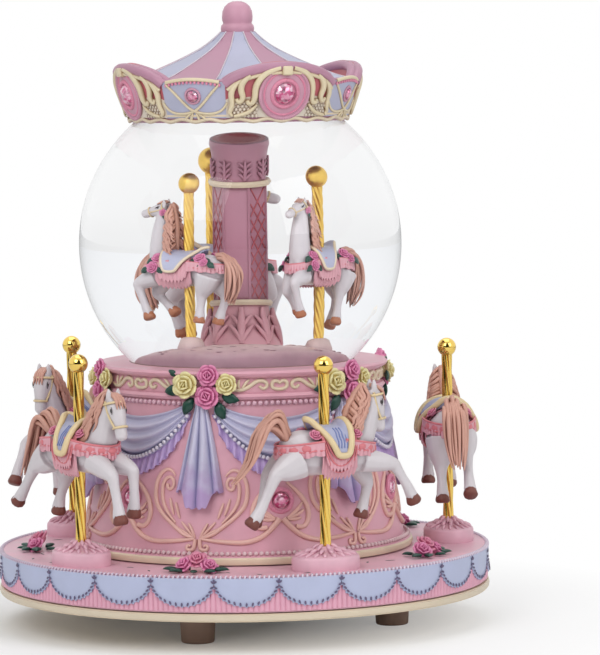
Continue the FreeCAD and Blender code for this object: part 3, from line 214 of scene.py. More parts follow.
def lathe(profile, steps=160, closed=True):
    """A section of (radius, height) points turned about the axis."""
    obj = outline([(radius, 0, height) for radius, height in profile], closed)
    with editing(obj):
        bpy.ops.mesh.spin(steps=steps, angle=2 * math.pi, center=(0, 0, 0), axis=(0, 0, 1))
    return weld(obj)


def tubes(strokes, sides=2, steps=4, looped=False):
    """Round strokes that taper, each a list of (point, radius)."""
    obj = blank_curve()
    curve = obj.data
    for stroke in strokes:
        line = curve.splines.new("NURBS")
        line.points.add(len(stroke) - 1)
        for point, (place, radius) in zip(line.points, stroke):
            point.co = (*place, 1)
            point.radius = radius
        line.order_u = 3
        line.use_endpoint_u = not looped
        line.use_cyclic_u = looped
        line.resolution_u = steps
    curve.bevel_depth = 1.0
    curve.bevel_resolution = sides
    curve.use_fill_caps = True
    return weld(as_mesh(obj), 0.0005)


def ball(place, radius, segments=16, rings=10):
    return primitive(bpy.ops.mesh.primitive_uv_sphere_add, segments=segments, ring_count=rings, radius=radius,
                     location=place)


def bead(size, detail=2):
    """A small round bead at the origin, longer one way than the other."""
    obj = primitive(bpy.ops.mesh.primitive_ico_sphere_add, subdivisions=detail, radius=1)
    return moved(obj, Matrix.Diagonal((*size, 1)))


def cloth(across, down, place):
    """A sheet whose points are put in place from how far across (-1 to 1) and down (0 to 1) they are."""
    obj = primitive(bpy.ops.mesh.primitive_grid_add, x_subdivisions=across, y_subdivisions=down, size=2)
    for vertex in obj.data.vertices:
        vertex.co = place(vertex.co.x, (1 - vertex.co.y) / 2)
    return obj


def thick(obj, thickness, offset=-1.0):
    modified(obj, "SOLIDIFY", thickness=thickness, offset=offset)
    return weld(obj, 0.0001)


def drawn(strokes, material, sides=2, steps=4, degrees=60, looped=False):
    return painted(tubes(strokes, sides, steps, looped), material, degrees)


def sheet(across, down, place, thickness, material, degrees=40, offset=-1.0):
    return painted(thick(cloth(across, down, place), thickness, offset), material, degrees)


def beaded(size, places, material, degrees=40, detail=1):
    return painted(strewn(bead(size, detail), places), material, degrees)


def pearled(radius, places, material, degrees=40):
    return painted(strewn(ball((0, 0, 0), radius, 8, 6), places), material, degrees)


# Finishes

BROAD_GRAIN = 130.0
PATCH_GRAIN = 220.0
FINE_GRAIN = 1400.0
WATER_IOR = 1.34


def linear(code):
    values = [int(code[index:index + 2], 16) / 255 for index in (1, 3, 5)]
    return tuple(v / 12.92 if v <= 0.04045 else ((v + 0.055) / 1.055) ** 2.4 for v in values) + (1.0,)


def feed(tree, socket, value):
    """Gives a node's input a value, or the output of another node."""
    if isinstance(value, bpy.types.NodeSocket):
        tree.links.new(value, socket)
    else:
        socket.default_value = value


def wire(tree, node, **inputs):
    for name, value in inputs.items():
        feed(tree, node.inputs[name.replace("_", " ")], value)
    return node


def add(tree, kind, **inputs):
    return wire(tree, tree.nodes.new(kind), **inputs)


def calculated(tree, operation, *values):
    """The outcome of a sum of values and outputs of nodes."""
    made = tree.nodes.new("ShaderNodeMath")
    made.operation = operation
    for socket, value in zip(made.inputs, values):
        feed(tree, socket, value)
    return made.outputs["Value"]


def ranged(tree, value, low, high, start=0.0, end=1.0):
    """A value brought from one range to another."""
    return add(tree, "ShaderNodeMapRange", Value=value, From_Min=low, From_Max=high, To_Min=start,
               To_Max=end).outputs["Result"]


def place_of(tree):
    return tree.nodes.new("ShaderNodeTexCoord").outputs["Object"]


def noise(tree, scale, detail=2.0):
    return add(tree, "ShaderNodeTexNoise", Vector=place_of(tree), Scale=scale, Detail=detail).outputs["Fac"]


def blended(tree, share, first, second):
    """A colour between two colours."""
    made = tree.nodes.new("ShaderNodeMix")
    made.data_type = "RGBA"
    for index, value in ((0, share), (6, first), (7, second)):
        feed(tree, made.inputs[index], value)
    return made.outputs[2]


def chosen(tree, share, first, second):
    """A shader between two shaders."""
    made = tree.nodes.new("ShaderNodeMixShader")
    for socket, value in zip(made.inputs, (share, first, second)):
        feed(tree, socket, value)
    return made.outputs["Shader"]


def wash_and_shade_group():
    """Painted resin: the colour drifts a little, and darkens towards a second colour in the hollows that
    ambient occlusion finds, partly the paint's own wash and partly painted shade.
    """
    tree = bpy.data.node_groups.new("painted_wash", "ShaderNodeTree")
    for name in ("Color", "Wash", "Reach", "Amount", "Drift", "Roughness"):
        kind = "NodeSocketColor" if name in ("Color", "Wash") else "NodeSocketFloat"
        tree.interface.new_socket(name, in_out="INPUT", socket_type=kind)
    for name in ("Color", "Roughness", "Height"):
        kind = "NodeSocketColor" if name == "Color" else "NodeSocketFloat"
        tree.interface.new_socket(name, in_out="OUTPUT", socket_type=kind)
    given = tree.nodes.new("NodeGroupInput").outputs
    swing = ranged(tree, noise(tree, BROAD_GRAIN, 3.0), 0.3, 0.7, -1.0, 1.0)
    drift = calculated(tree, "MULTIPLY_ADD", swing, given["Drift"], 1.0)
    shade = add(tree, "ShaderNodeHueSaturation", Color=given["Color"], Value=drift).outputs["Color"]
    # Ambient occlusion finds the hollows, where the colour goes darker: partly a wash in the paint, partly
    # painted shade.
    hollow = add(tree, "ShaderNodeAmbientOcclusion", Distance=given["Reach"])
    hollow.only_local = True
    hollow.samples = 6
    depth = ranged(tree, hollow.outputs["AO"], 0.35, 0.9, 1.0, 0.0)
    share = calculated(tree, "MULTIPLY", depth, given["Amount"])
    add(tree, "NodeGroupOutput", Color=blended(tree, share, shade, given["Wash"]),
        Roughness=calculated(tree, "MULTIPLY_ADD", swing, 0.06, given["Roughness"]),
        Height=noise(tree, FINE_GRAIN, 4.0))
    return tree


WASH_AND_SHADE = wash_and_shade_group()


def finish(name, metallic=0.0, coat=0.0, **principled):
    """A material with a bare Principled shader."""
    material = bpy.data.materials.new(name)
    material.use_nodes = True
    tree = material.node_tree
    shader = wire(tree, tree.nodes["Principled BSDF"], Metallic=metallic, Coat_Weight=coat, **principled)
    return material, tree, shader


def resin(name, color, wash, rough=0.42, amount=0.75, reach=0.0016, drift=0.04, coat=0.0, metallic=0.0,
          grain=0.06, fade=None):
    """A painted finish. fade gives a second colour, the heights between which it comes in, and how far
    its edge strays, in mm."""
    material, tree, shader = finish(name, metallic, coat)
    paint = linear(color)
    if fade:
        second, low, high, stray = fade
        height = add(tree, "ShaderNodeSeparateXYZ", Vector=place_of(tree)).outputs["Z"]
        ragged = calculated(tree, "MULTIPLY_ADD", noise(tree, PATCH_GRAIN), stray * MM, height)
        paint = blended(tree, ranged(tree, ragged, low * MM, high * MM), paint, linear(second))
    # The group darkens the colour in hollows towards the second colour: partly a wash in the paint, partly
    # painted shade.
    group = tree.nodes.new("ShaderNodeGroup")
    group.node_tree = WASH_AND_SHADE
    wire(tree, group, Color=paint, Wash=linear(wash), Reach=reach, Amount=amount, Drift=drift,
         Roughness=rough)
    bump = add(tree, "ShaderNodeBump", Strength=grain, Distance=0.0003, Height=group.outputs["Height"])
    wire(tree, shader, Base_Color=group.outputs["Color"], Roughness=group.outputs["Roughness"],
         Normal=bump.outputs["Normal"])
    return material


def glass():
    """Glass full of water, with a colour that darkens towards its edge as painted shade for the grey rim,
    which lets the lamps through to what it holds.
    """
    material, tree, shader = finish("globe_glass", IOR=WATER_IOR, Transmission_Weight=1.0)
    # The tint darkens the glass towards its edge: painted shade at the rim.
    edge = add(tree, "ShaderNodeLayerWeight", Blend=0.5)
    tint = add(tree, "ShaderNodeValToRGB", Fac=edge.outputs["Facing"])
    stops = tint.color_ramp.elements
    for place, shade in ((0.0, (0.985, 0.99, 0.995, 1)), (0.72, (0.95, 0.955, 0.96, 1)),
                         (0.96, (0.6, 0.615, 0.625, 1))):
        stops.new(place).color = shade
    stops.remove(stops[0])
    stops.remove(stops[-1])
    wire(tree, shader, Base_Color=tint.outputs["Color"],
         Roughness=ranged(tree, noise(tree, 40.0), 0.4, 0.8, 0.0, 0.012))
    path = tree.nodes.new("ShaderNodeLightPath").outputs
    clear = tree.nodes.new("ShaderNodeBsdfTransparent").outputs["BSDF"]
    surface = chosen(tree, path["Is Shadow Ray"], shader.outputs["BSDF"], clear)
    wire(tree, tree.nodes["Material Output"], Surface=surface)
    return material


DRUM_PINK = resin("drum_pink", "#DCA6B5", "#B16C82", rough=0.4)
SKIRT_PINK = resin("skirt_pink", "#DFA6BA", "#BA7089", reach=0.0012)
PLATFORM_PINK = resin("platform_pink", "#E1B3C2", "#B9758B", drift=0.07)
CANOPY_PINK = resin("canopy_pink", "#C996AA", "#9B5A75")
# A darker copy of canopy pink for the roof and the plaque hoods: painted shade.
ROOF_SHADED_PINK = resin("roof_pink_shaded", "#B38399", "#89506E")
DEEP_PINK = resin("deep_pink", "#BA5F68", "#803440")
CREAM = resin("cream", "#DDCDB3", "#B68F67")
OLD_CREAM = resin("old_cream", "#DCCEAE", "#AA865E", reach=0.002, amount=0.9)
PEACH = resin("peach_scrolls", "#E4B7AC", "#B06A66", reach=0.0012)
LAVENDER = resin("lavender", "#B0B2C9", "#8484AC", reach=0.002)
SKIRT_BLUE = resin("skirt_blue", "#B3BAD6", "#8D94BA", drift=0.03)
DRAPE = resin("drape_cloth", "#C4C2D9", "#8686AE", reach=0.003, fade=("#B198C5", 78.0, 64.0, 22.0))
RUFFLE = resin("ruffle_cloth", "#BAA1D0", "#8265AA", reach=0.002)
LEAF = resin("leaf_green", "#0F4135", "#06211B", rough=0.35)
MARK = resin("painted_mark", "#635877", "#463B58", rough=0.5, drift=0.1)
PINK_ROSE = resin("pink_rose", "#DE8BB1", "#BA5486", reach=0.002, amount=0.9)
PALE_ROSE = resin("pale_rose", "#DB8DA6", "#B9567B", reach=0.0014, amount=0.9)
YELLOW_ROSE = resin("yellow_rose", "#E7DFAA", "#C7B36E", reach=0.002, amount=0.9)
PEARL = resin("pearl", "#D9B1C0", "#B0708D", rough=0.22, coat=0.6, amount=0.5)
WHITE_PEARL = resin("white_pearl", "#D7D3DF", "#9994B9", rough=0.22, coat=0.6, amount=0.5)
# The horse coat darkens up to 6 mm into hollows, so besides a wash in the grooves it paints broad shade
# between the parts of the body.
COAT_WHITE = resin("horse_white", "#CFC9CD", "#92828B", rough=0.34, reach=0.006, amount=0.6, drift=0.02)
MANE = resin("horse_mane", "#C99888", "#874E3E", reach=0.0016, amount=0.95)
HOOF = resin("horse_hoof", "#703B31", "#421E18", rough=0.5)
PALE_HOOF = resin("inner_hoof", "#AE6E4D", "#723F2A", rough=0.5)
TACK_PINK = resin("tack_pink", "#D9A1AC", "#B56C7D", reach=0.0012, amount=0.9)
TACK_RED = resin("tack_red", "#D27880", "#A34854", reach=0.0012)
SEAT = resin("saddle_seat", "#A5A8C4", "#686C98", reach=0.0014)
SEAT_LINE = resin("saddle_lines", "#707EB3", "#515891")
RIM = resin("saddle_rim", "#DCC79D", "#B08B58")
EYE = resin("horse_eye", "#271E21", "#120D11", rough=0.15, coat=1.0)
COLUMN_PINK = resin("column_pink", "#AE7A8C", "#763848", reach=0.0012)
MOUND = resin("mound_mauve", "#AE8794", "#775161", drift=0.08, reach=0.002,
              fade=("#CDB5B1", 105.0, 113.0, 4.0))
GOLD = resin("polished_gold", "#F3D070", "#A8782A", rough=0.12, metallic=1.0, amount=0.4, grain=0.01)
SATIN_GOLD = resin("satin_gold", "#EFC868", "#A8782E", rough=0.33, metallic=1.0, amount=0.5, grain=0.02)
FOOT = resin("foot_rubber", "#90776C", "#514039", rough=0.6, drift=0.06)
BASE_CREAM = resin("base_cream", "#D5C7B0", "#BAA687", amount=0.2, drift=0.02, grain=0.02)
ROPE = resin("rope_edging", "#D3C7D6", "#B57D98", reach=0.001)
FOOT_BEAD = resin("foot_beads", "#DCC2C5", "#AE6C7E", reach=0.001)
PIPING = resin("roof_piping", "#CDC4CD", "#98899B", amount=0.4)
SCALE_CREAM = resin("scale_cream", "#D9CFC0", "#A68770", reach=0.0014)
CARVED_FOOT = resin("column_foot", "#D29BA5", "#8F4456", reach=0.0012)
GLASS = glass()


def stone(name, color):
    """A foil-backed cut stone, with facets that catch the light unevenly, and a colour that goes from cell to
    cell between deep pink and pale pink: painted glints.
    """
    material, tree, shader = finish(name, 0.55, 1.0, Coat_Roughness=0.03)
    # Random cells of pale pink paint glints into the stone's colour.
    cells = add(tree, "ShaderNodeTexVoronoi", Vector=place_of(tree), Scale=900.0).outputs
    tint = add(tree, "ShaderNodeValToRGB", Fac=cells["Color"])
    dark, light = tint.color_ramp.elements
    dark.color = linear(color)
    dark.position = 0.25
    light.color = linear("#F6D3E2")
    nick = add(tree, "ShaderNodeBump", Strength=0.08, Distance=0.0002, Height=cells["Distance"])
    wire(tree, shader, Base_Color=tint.outputs["Color"], Normal=nick.outputs["Normal"],
         Roughness=ranged(tree, cells["Distance"], 0.0, 1.0, 0.03, 0.12))
    return material


GEM = stone("pink_stone", "#C24A7E")


# Drum surface

FOOT_TOP = 32.0
WAIST = 84.0
DRUM_FOOT = 60.0
DRUM_NECK = 51.6


def drum_radius(height):
    """How far the drum's wall stands from the axis."""
    if height >= WAIST:
        return DRUM_NECK
    share = max(0.0, (height - FOOT_TOP) / (WAIST - FOOT_TOP))
    return DRUM_FOOT - 8.5 * share - 3.5 * share * (1 - share)


def on_drum(degrees, height, lift=0.0):
    return spot(drum_radius(height) + lift, degrees, height)


def drum_strokes(flat, centre, lift, reference):
    """Strokes drawn flat as (along, height, radius) off a centre line, laid on the drum both ways round."""
    laid = []
    for side in (-1, 1):
        for stroke in flat:
            laid.append([(on_drum(centre + side * math.degrees(along / reference), height, lift), radius)
                         for along, height, radius in stroke])
    return laid


# Base, platform and skirt

FEET = 4
FOOT_START = -17.6
FOOT_CIRCLE = 57


def make_base():
    rim = lathe([(86.0, 12.5), (90.7, 12.4), (91.4, 12.9), (91.6, 13.8), (91.4, 14.7), (90.7, 15.2),
                 (86.0, 15.1)])
    piece(painted(rim, BASE_CREAM), "base_rim", "base", "cream_resin")
    peg = primitive(bpy.ops.mesh.primitive_cone_add, vertices=48, radius1=6.0, radius2=6.7, depth=12.4,
                    location=(0, -FOOT_CIRCLE, 6.2))
    foot = painted(rounded(peg, 0.7), FOOT)
    piece(ring(foot, FEET, FOOT_START), "feet", "base", "foot_rubber", "rubber_feet")


SKIRT_RADIUS = 91.0
SCALLOPS = 25
SCALLOP_START = 7.5
SCALLOP_HALF = 180 / SCALLOPS
SCALLOP_TOP = 26.2
SCALLOP_DROP = 8.3
RIBS_EACH = 12
LACE_STEPS = 16
ROPE_BEADS = 336


def scallop_low(across):
    return SCALLOP_TOP - SCALLOP_DROP * math.sqrt(max(0.0, 1 - across * across))


def make_skirt():
    ribs = SCALLOPS * RIBS_EACH
    flutes = primitive(bpy.ops.mesh.primitive_cylinder_add, vertices=ribs * 4, radius=SKIRT_RADIUS,
                       depth=11.6, location=(0, 0, 21.9), end_fill_type="NOTHING")
    for vertex in flutes.data.vertices:
        angle = math.atan2(vertex.co.y, vertex.co.x) * ribs
        radius = SKIRT_RADIUS - 0.5 + 0.5 * abs(math.cos(angle / 2)) ** 0.8
        vertex.co.x *= radius / SKIRT_RADIUS
        vertex.co.y *= radius / SKIRT_RADIUS
    thick(flutes, 0.6)
    painted(flutes, SKIRT_PINK, 60)

    def panel_place(across, down):
        top = SCALLOP_TOP + 1.7
        return spot(SKIRT_RADIUS + 0.35, across * SCALLOP_HALF, top - (top - scallop_low(across)) * down)

    panel = sheet(28, 6, panel_place, 0.9, SKIRT_BLUE)
    panel = ring(panel, SCALLOPS, SCALLOP_START + SCALLOP_HALF)
    front = -SKIRT_RADIUS - 0.75
    inset = 0.93
    edge, marks = [], []
    for middle in evenly(SCALLOPS, SCALLOP_START + SCALLOP_HALF):
        for step in range(LACE_STEPS + 1):
            bend = math.pi * step / LACE_STEPS
            across = -math.cos(bend)
            angle = middle + across * SCALLOP_HALF
            edge.append(at(*spot(SKIRT_RADIUS + 0.1, angle, scallop_low(across))))
            if 0 < step < LACE_STEPS:
                height = SCALLOP_TOP - SCALLOP_DROP * inset * math.sin(bend) * 0.98
                lean = Matrix.Rotation(-math.cos(bend) * 1.1, 4, "Y")
                angle = middle + across * SCALLOP_HALF * (inset + 0.03)
                marks.append(turn(angle) @ at(0, front, height) @ lean)
        for lean, reach in ((-55, 1.5), (0, 1.7), (55, 1.5)):
            marks.append(turn(middle - SCALLOP_HALF) @ at(0, front, SCALLOP_TOP + 0.1) @ tilt(lean, "Y") @
                         at(0, 0, reach - 0.9))
    lace = beaded((0.5, 0.45, 0.5), edge, SKIRT_BLUE)
    drops = beaded((0.4, 0.22, 0.78), marks, MARK)
    rope = [turn(angle) @ at(0, 0.3 - SKIRT_RADIUS, 28.1) @ tilt(24, "Y") for angle in evenly(ROPE_BEADS)]
    edging = beaded((0.62, 0.95, 0.95), rope, ROPE)
    piece(join([flutes, panel, lace, drops, edging]), "platform_skirt", "outer_carousel", "pink_resin")


# Roses and leaves

def rose(material):
    """A rose of radius one that opens towards +Z."""
    parts = [bead((0.62, 0.62, 0.42), 2)]
    for count, out, lift, lean, size, start in ((6, 0.62, 0.08, 62, 0.46, 0), (5, 0.42, 0.26, 40, 0.42, 30),
                                                (4, 0.22, 0.42, 20, 0.34, 10), (2, 0.07, 0.5, 4, 0.22, 60)):
        for angle in evenly(count, start):
            petal = bead((size, size * 0.26, size * 0.85), 2)
            parts.append(moved(petal, turn(angle) @ at(0, -out, lift) @ tilt(lean, "X")))
    return painted(join(parts), material, 80)


def leaf():
    """A pointed leaf of length one along X, flat in Z."""
    rib = [((0, 0, 0), 0.05), ((0.25, 0, 0.25), 0.34), ((0.65, 0, 0.3), 0.34), ((1, 0, 0), 0.01)]
    blade = tubes([rib], 3, 5)
    return painted(moved(blade, Matrix.Diagonal((1, 1, 0.4, 1))), LEAF, 80)


ROSES = {"pink": rose(PINK_ROSE), "pale": rose(PALE_ROSE), "yellow": rose(YELLOW_ROSE)}
ONE_LEAF = leaf()


def bloom(kind, place, out, size, spin=0.0):
    along = Vector((0, 0, 1)).cross(Vector(out))
    if along.length < 0.01:
        along = Vector((1, 0, 0))
    return copied(ROSES[kind], facing(place, along, out) @ turn(spin) @ Matrix.Scale(size, 4))


def sprig(place, along, out, length, width=1.0):
    return copied(ONE_LEAF, facing(place, along, out) @ Matrix.Diagonal((length, length * width, length, 1)))


# Drum and its ornament

SECTORS = 6
CLUSTER_START = -15.0
JEWEL_START = 13.6
JEWEL_HEIGHT = 51.0
TAIL_START = -16.6
TAIL_TOP = 86.5
LIP = 97.8
FOOT_BEADS = 190
PEARLS = 152


def make_drum():
    wall = [(drum_radius(height), height) for height in range(33, 84, 3)]
    profile = ([(57.5, 28.7), (61.8, 28.6), (62.5, 29.1), (62.7, 30.2), (62.2, 31.4), (61.0, 32.0)] + wall +
               [(51.5, WAIST), (51.5, 87.2), (52.6, 87.4), (53.3, 88.4), (52.6, 89.4), (51.6, 89.6),
                (51.6, 94.9), (52.8, 95.2), (53.9, 95.9), (54.3, 96.8), (53.7, 97.6), (52.6, LIP),
                (41.9, LIP), (42.2, 96.5), (49.8, 93.0), (49.6, WAIST), (55.0, 50.0), (57.3, 36.0)])
    shell = painted(lathe(profile, 192), DRUM_PINK, 35)
    piece(shell, "drum", "base", "pink_resin", "drum_shell")

    foot = lathe([(61.4, 28.7), (62.6, 28.7), (63.1, 29.6), (62.9, 30.8), (62.0, 31.5), (61.0, 31.4)], 192)
    small = [turn(angle) @ at(0, -61.2, 32.6) for angle in evenly(FOOT_BEADS)]
    strung = pearled(0.85, small, FOOT_BEAD)
    piece(join([painted(foot, CREAM), strung]), "drum_foot_beads", "base", "cream_resin")

    row = [turn(angle) @ at(0, -51.9, 86.0) for angle in evenly(PEARLS)]
    piece(pearled(0.98, row, PEARL), "drum_pearls", "base", "pink_resin")


SCROLLS = [
    [(0.8, 37.5, 0.8), (0.9, 35.0, 0.8), (1.6, 33.8, 0.75), (3.2, 33.6, 0.7), (4.0, 34.6, 0.65),
     (3.2, 35.7, 0.6), (2.4, 35.0, 0.5)],
    [(0.9, 37.8, 0.6), (4.5, 37.2, 0.75), (10.0, 36.6, 0.85), (17.0, 36.2, 0.95), (22.5, 37.8, 1.0),
     (26.0, 40.5, 1.0), (28.8, 43.4, 1.1), (29.6, 44.6, 1.25)],
    [(1.6, 38.2, 0.6), (4.5, 38.4, 0.75), (9.4, 42.2, 0.85), (14.3, 46.0, 0.85), (17.6, 49.8, 0.85),
     (18.4, 55.2, 0.8), (17.2, 59.8, 0.75), (14.2, 62.3, 0.7), (11.4, 61.8, 0.55), (10.0, 59.8, 0.3)],
    [(8.8, 43.2, 0.4), (12.2, 46.4, 0.65), (14.7, 50.4, 0.7), (15.4, 55.0, 0.7), (14.6, 58.4, 0.7),
     (12.2, 59.6, 0.65), (10.6, 58.4, 0.65), (10.4, 56.2, 0.65), (11.8, 54.8, 0.65), (13.2, 55.5, 0.7),
     (13.1, 57.0, 0.75)],
    [(0.9, 38.0, 0.3), (2.2, 41.0, 0.85), (3.6, 43.2, 0.35)],
    [(1.2, 38.0, 0.3), (4.0, 41.2, 0.85), (6.4, 43.6, 0.35)],
    [(1.6, 38.0, 0.3), (5.0, 40.3, 0.8), (8.0, 41.4, 0.35)],
    [(9.7, 46.0, 0.3), (10.8, 48.6, 0.9), (11.7, 51.8, 0.35)],
    [(7.2, 44.8, 0.3), (8.4, 47.6, 0.9), (9.2, 50.4, 0.35)],
    [(27.5, 57.4, 0.5), (24.3, 54.8, 0.8), (20.8, 50.7, 0.95), (19.5, 46.5, 0.95), (20.4, 42.7, 0.9),
     (22.5, 41.0, 0.85), (25.1, 41.6, 1.0)],
    [(28.1, 44.6, 0.6), (24.5, 46.4, 1.1), (21.9, 50.0, 0.4)],
    [(28.1, 44.6, 0.6), (24.0, 45.4, 1.0), (21.6, 47.4, 0.4)],
    [(28.1, 44.4, 0.6), (25.0, 44.0, 0.9), (22.7, 44.6, 0.4)],
]
FRIEZE = [
    [(8.5, 91.6, 0.45), (10.5, 90.7, 0.65), (13.5, 90.7, 0.75), (16.4, 92.2, 0.8), (18.5, 93.9, 0.8),
     (20.8, 94.2, 0.75), (22.6, 93.0, 0.7), (22.2, 91.4, 0.65), (20.4, 91.0, 0.6), (19.7, 92.2, 0.6)],
    [(12.6, 91.0, 0.3), (11.6, 93.0, 0.85), (12.6, 94.5, 0.3)],
    [(13.4, 91.0, 0.3), (14.4, 93.2, 0.85), (16.0, 94.4, 0.35)],
    [(27.2, 93.0, 0.55), (26.2, 94.0, 0.7), (24.6, 93.8, 0.75), (24.0, 92.2, 0.7), (25.0, 90.9, 0.7),
     (27.2, 90.8, 0.65)],
]


def make_scrolls():
    carved = coated(tubes(drum_strokes(SCROLLS, TAIL_START, 0.35, 58.0), 2, 4), PEACH)
    trimmed = coated(tubes(drum_strokes(FRIEZE, CLUSTER_START, 0.25, DRUM_NECK), 2, 4), CREAM)
    piece(smooth(ring(join([carved, trimmed]), SECTORS), 60), "drum_scrolls", "base", "cream_resin")


def cut_stone(radius):
    """A round stone with a flat table and a belt of facets, facing -Y."""
    obj = primitive(bpy.ops.mesh.primitive_cone_add, vertices=12, radius1=radius, radius2=radius * 0.52,
                    depth=radius * 0.5)
    with editing(obj):
        bpy.ops.mesh.bevel(offset=radius * 0.16, segments=1, affect="EDGES")
    return moved(coated(obj, GEM), tilt(90, "X"))


def bezel(major, minor, teeth, material):
    """A ring with rope teeth round a stone, facing -Y."""
    hoop = primitive(bpy.ops.mesh.primitive_torus_add, major_radius=major, minor_radius=minor,
                     major_segments=64, minor_segments=12)
    spots = [turn(angle) @ at(0, -major, minor * 0.55) for angle in evenly(teeth)]
    rope = strewn(bead((math.pi * major / teeth * 0.9, minor * 0.75, minor * 0.75), 1), spots)
    both = moved(join([hoop, rope]), tilt(90, "X"))
    return painted(both, material, 60)


def make_jewels():
    lift = drum_radius(JEWEL_HEIGHT)
    jewel = moved(cut_stone(3.5), at(0, -lift - 1.1, JEWEL_HEIGHT))
    piece(ring(jewel, SECTORS, JEWEL_START), "drum_stones", "base", "gem_acrylic", "drum_gems")
    hoop = moved(bezel(4.1, 0.85, 26, PALE_ROSE), at(0, -lift - 0.5, JEWEL_HEIGHT))
    piece(ring(hoop, SECTORS, JEWEL_START), "drum_bezels", "base", "rose_paint")


def swag_top(across):
    return 86.0 - 5.2 * (1 - across * across)


def swag_low(across):
    return 65.5 + 16.5 * across * across


def swag_lift(across, down):
    belly = max(0.0, 1 - across * across) ** 0.6
    bulge = 2.6 * math.sin(math.pi * (0.12 + 0.75 * down))
    return 0.7 + belly * (bulge + 0.85 * math.cos(7.5 * math.pi * down))


SWAG_HALF = 25.0
SWAG_PEARLS = 33


def make_swags():
    def body_place(across, down):
        top, low = swag_top(across), swag_low(across)
        return on_drum(across * SWAG_HALF, top + (low - top) * down, swag_lift(across, down))

    def hem_place(across, down):
        low = swag_low(across)
        drop = 6.2 * (1 - abs(across) ** 8)
        ripple = math.cos(across * 56)
        height = low + 0.6 - down * (drop + 0.7 * abs(ripple))
        lift = swag_lift(across, 1.0) - 0.6 + down * (0.9 + 0.9 * ripple)
        return on_drum(across * SWAG_HALF, height, max(0.5, lift))

    body = sheet(48, 40, body_place, 0.9, DRAPE, 70)
    hem = sheet(110, 8, hem_place, 0.7, RUFFLE, 70)
    strung = []
    for step in range(SWAG_PEARLS):
        across = -0.97 + 1.94 * step / (SWAG_PEARLS - 1)
        lift = swag_lift(across, 1.0) + 0.6
        strung.append(at(*on_drum(across * SWAG_HALF, swag_low(across) + 0.4, lift)))
    line = pearled(0.8, strung, WHITE_PEARL, 80)
    swag = ring(join([body, hem, line]), SECTORS, JEWEL_START)
    piece(swag, "drum_swags_cloth", "base", "lavender_resin", "drum_swags")


def make_tails():
    def place(across, down):
        half = 1.8 + 7.2 * down ** 0.85
        lobe = abs(math.sin(1.5 * math.pi * (across + 0.06))) ** 0.8
        tongue = math.exp(-(across / 0.55) ** 6)
        bottom = 55.5 - 6.6 * tongue - 1.2 * across * across + 0.35 * math.cos(24 * across)
        height = TAIL_TOP + (bottom - TAIL_TOP) * down
        crease = 0.35 * math.cos(9 * across + 7 * down) * down
        fold = (2.7 * lobe + 0.9 * tongue) * down ** 0.5 + crease
        edge = max(0.0, 1 - across ** 8)
        return on_drum(math.degrees(across * half / 56.0), height, 0.6 + edge * (0.9 + fold))

    tail = sheet(72, 44, place, 0.8, DRAPE, 70)
    piece(ring(tail, SECTORS, TAIL_START), "drum_tails_cloth", "base", "lavender_resin", "drum_tails")


def make_clusters():
    parts = []
    for kind, off, height, size, spin in (("yellow", -7.2, 92.6, 5.2, 0), ("pink", 2.0, 96.2, 4.3, 30),
                                          ("pink", 1.4, 88.6, 4.9, 60), ("yellow", 8.8, 93.0, 4.2, 10)):
        parts.append(bloom(kind, spot(54.0, off, height), spot(1, off, 0.15), size, spin))
    for off, height, aim, length in ((-9.5, 91.2, 190, 6.6), (-4.6, 88.0, 240, 7.0), (5.2, 86.6, 292, 7.0),
                                     (7.2, 88.8, 345, 6.5), (-11.0, 96.0, 150, 4.0)):
        out = spot(1, off, 0)
        side = spot(1, off + 90, 0)
        angle = math.radians(aim)
        along = side * math.cos(angle) + Vector((0, 0, math.sin(angle)))
        parts.append(sprig(spot(53.4, off, height), along, out, length, 0.9))
    cluster = ring(join(parts), SECTORS, CLUSTER_START)
    piece(cluster, "drum_rose_clusters", "base", "rose_paint", "drum_roses")


# Platform furniture

OUTER_HORSES = 5
POLE_CIRCLE = 77.0
POLE_START = 22.0
SPRAY_START = -13.0
PLATFORM_TOP = 28.2


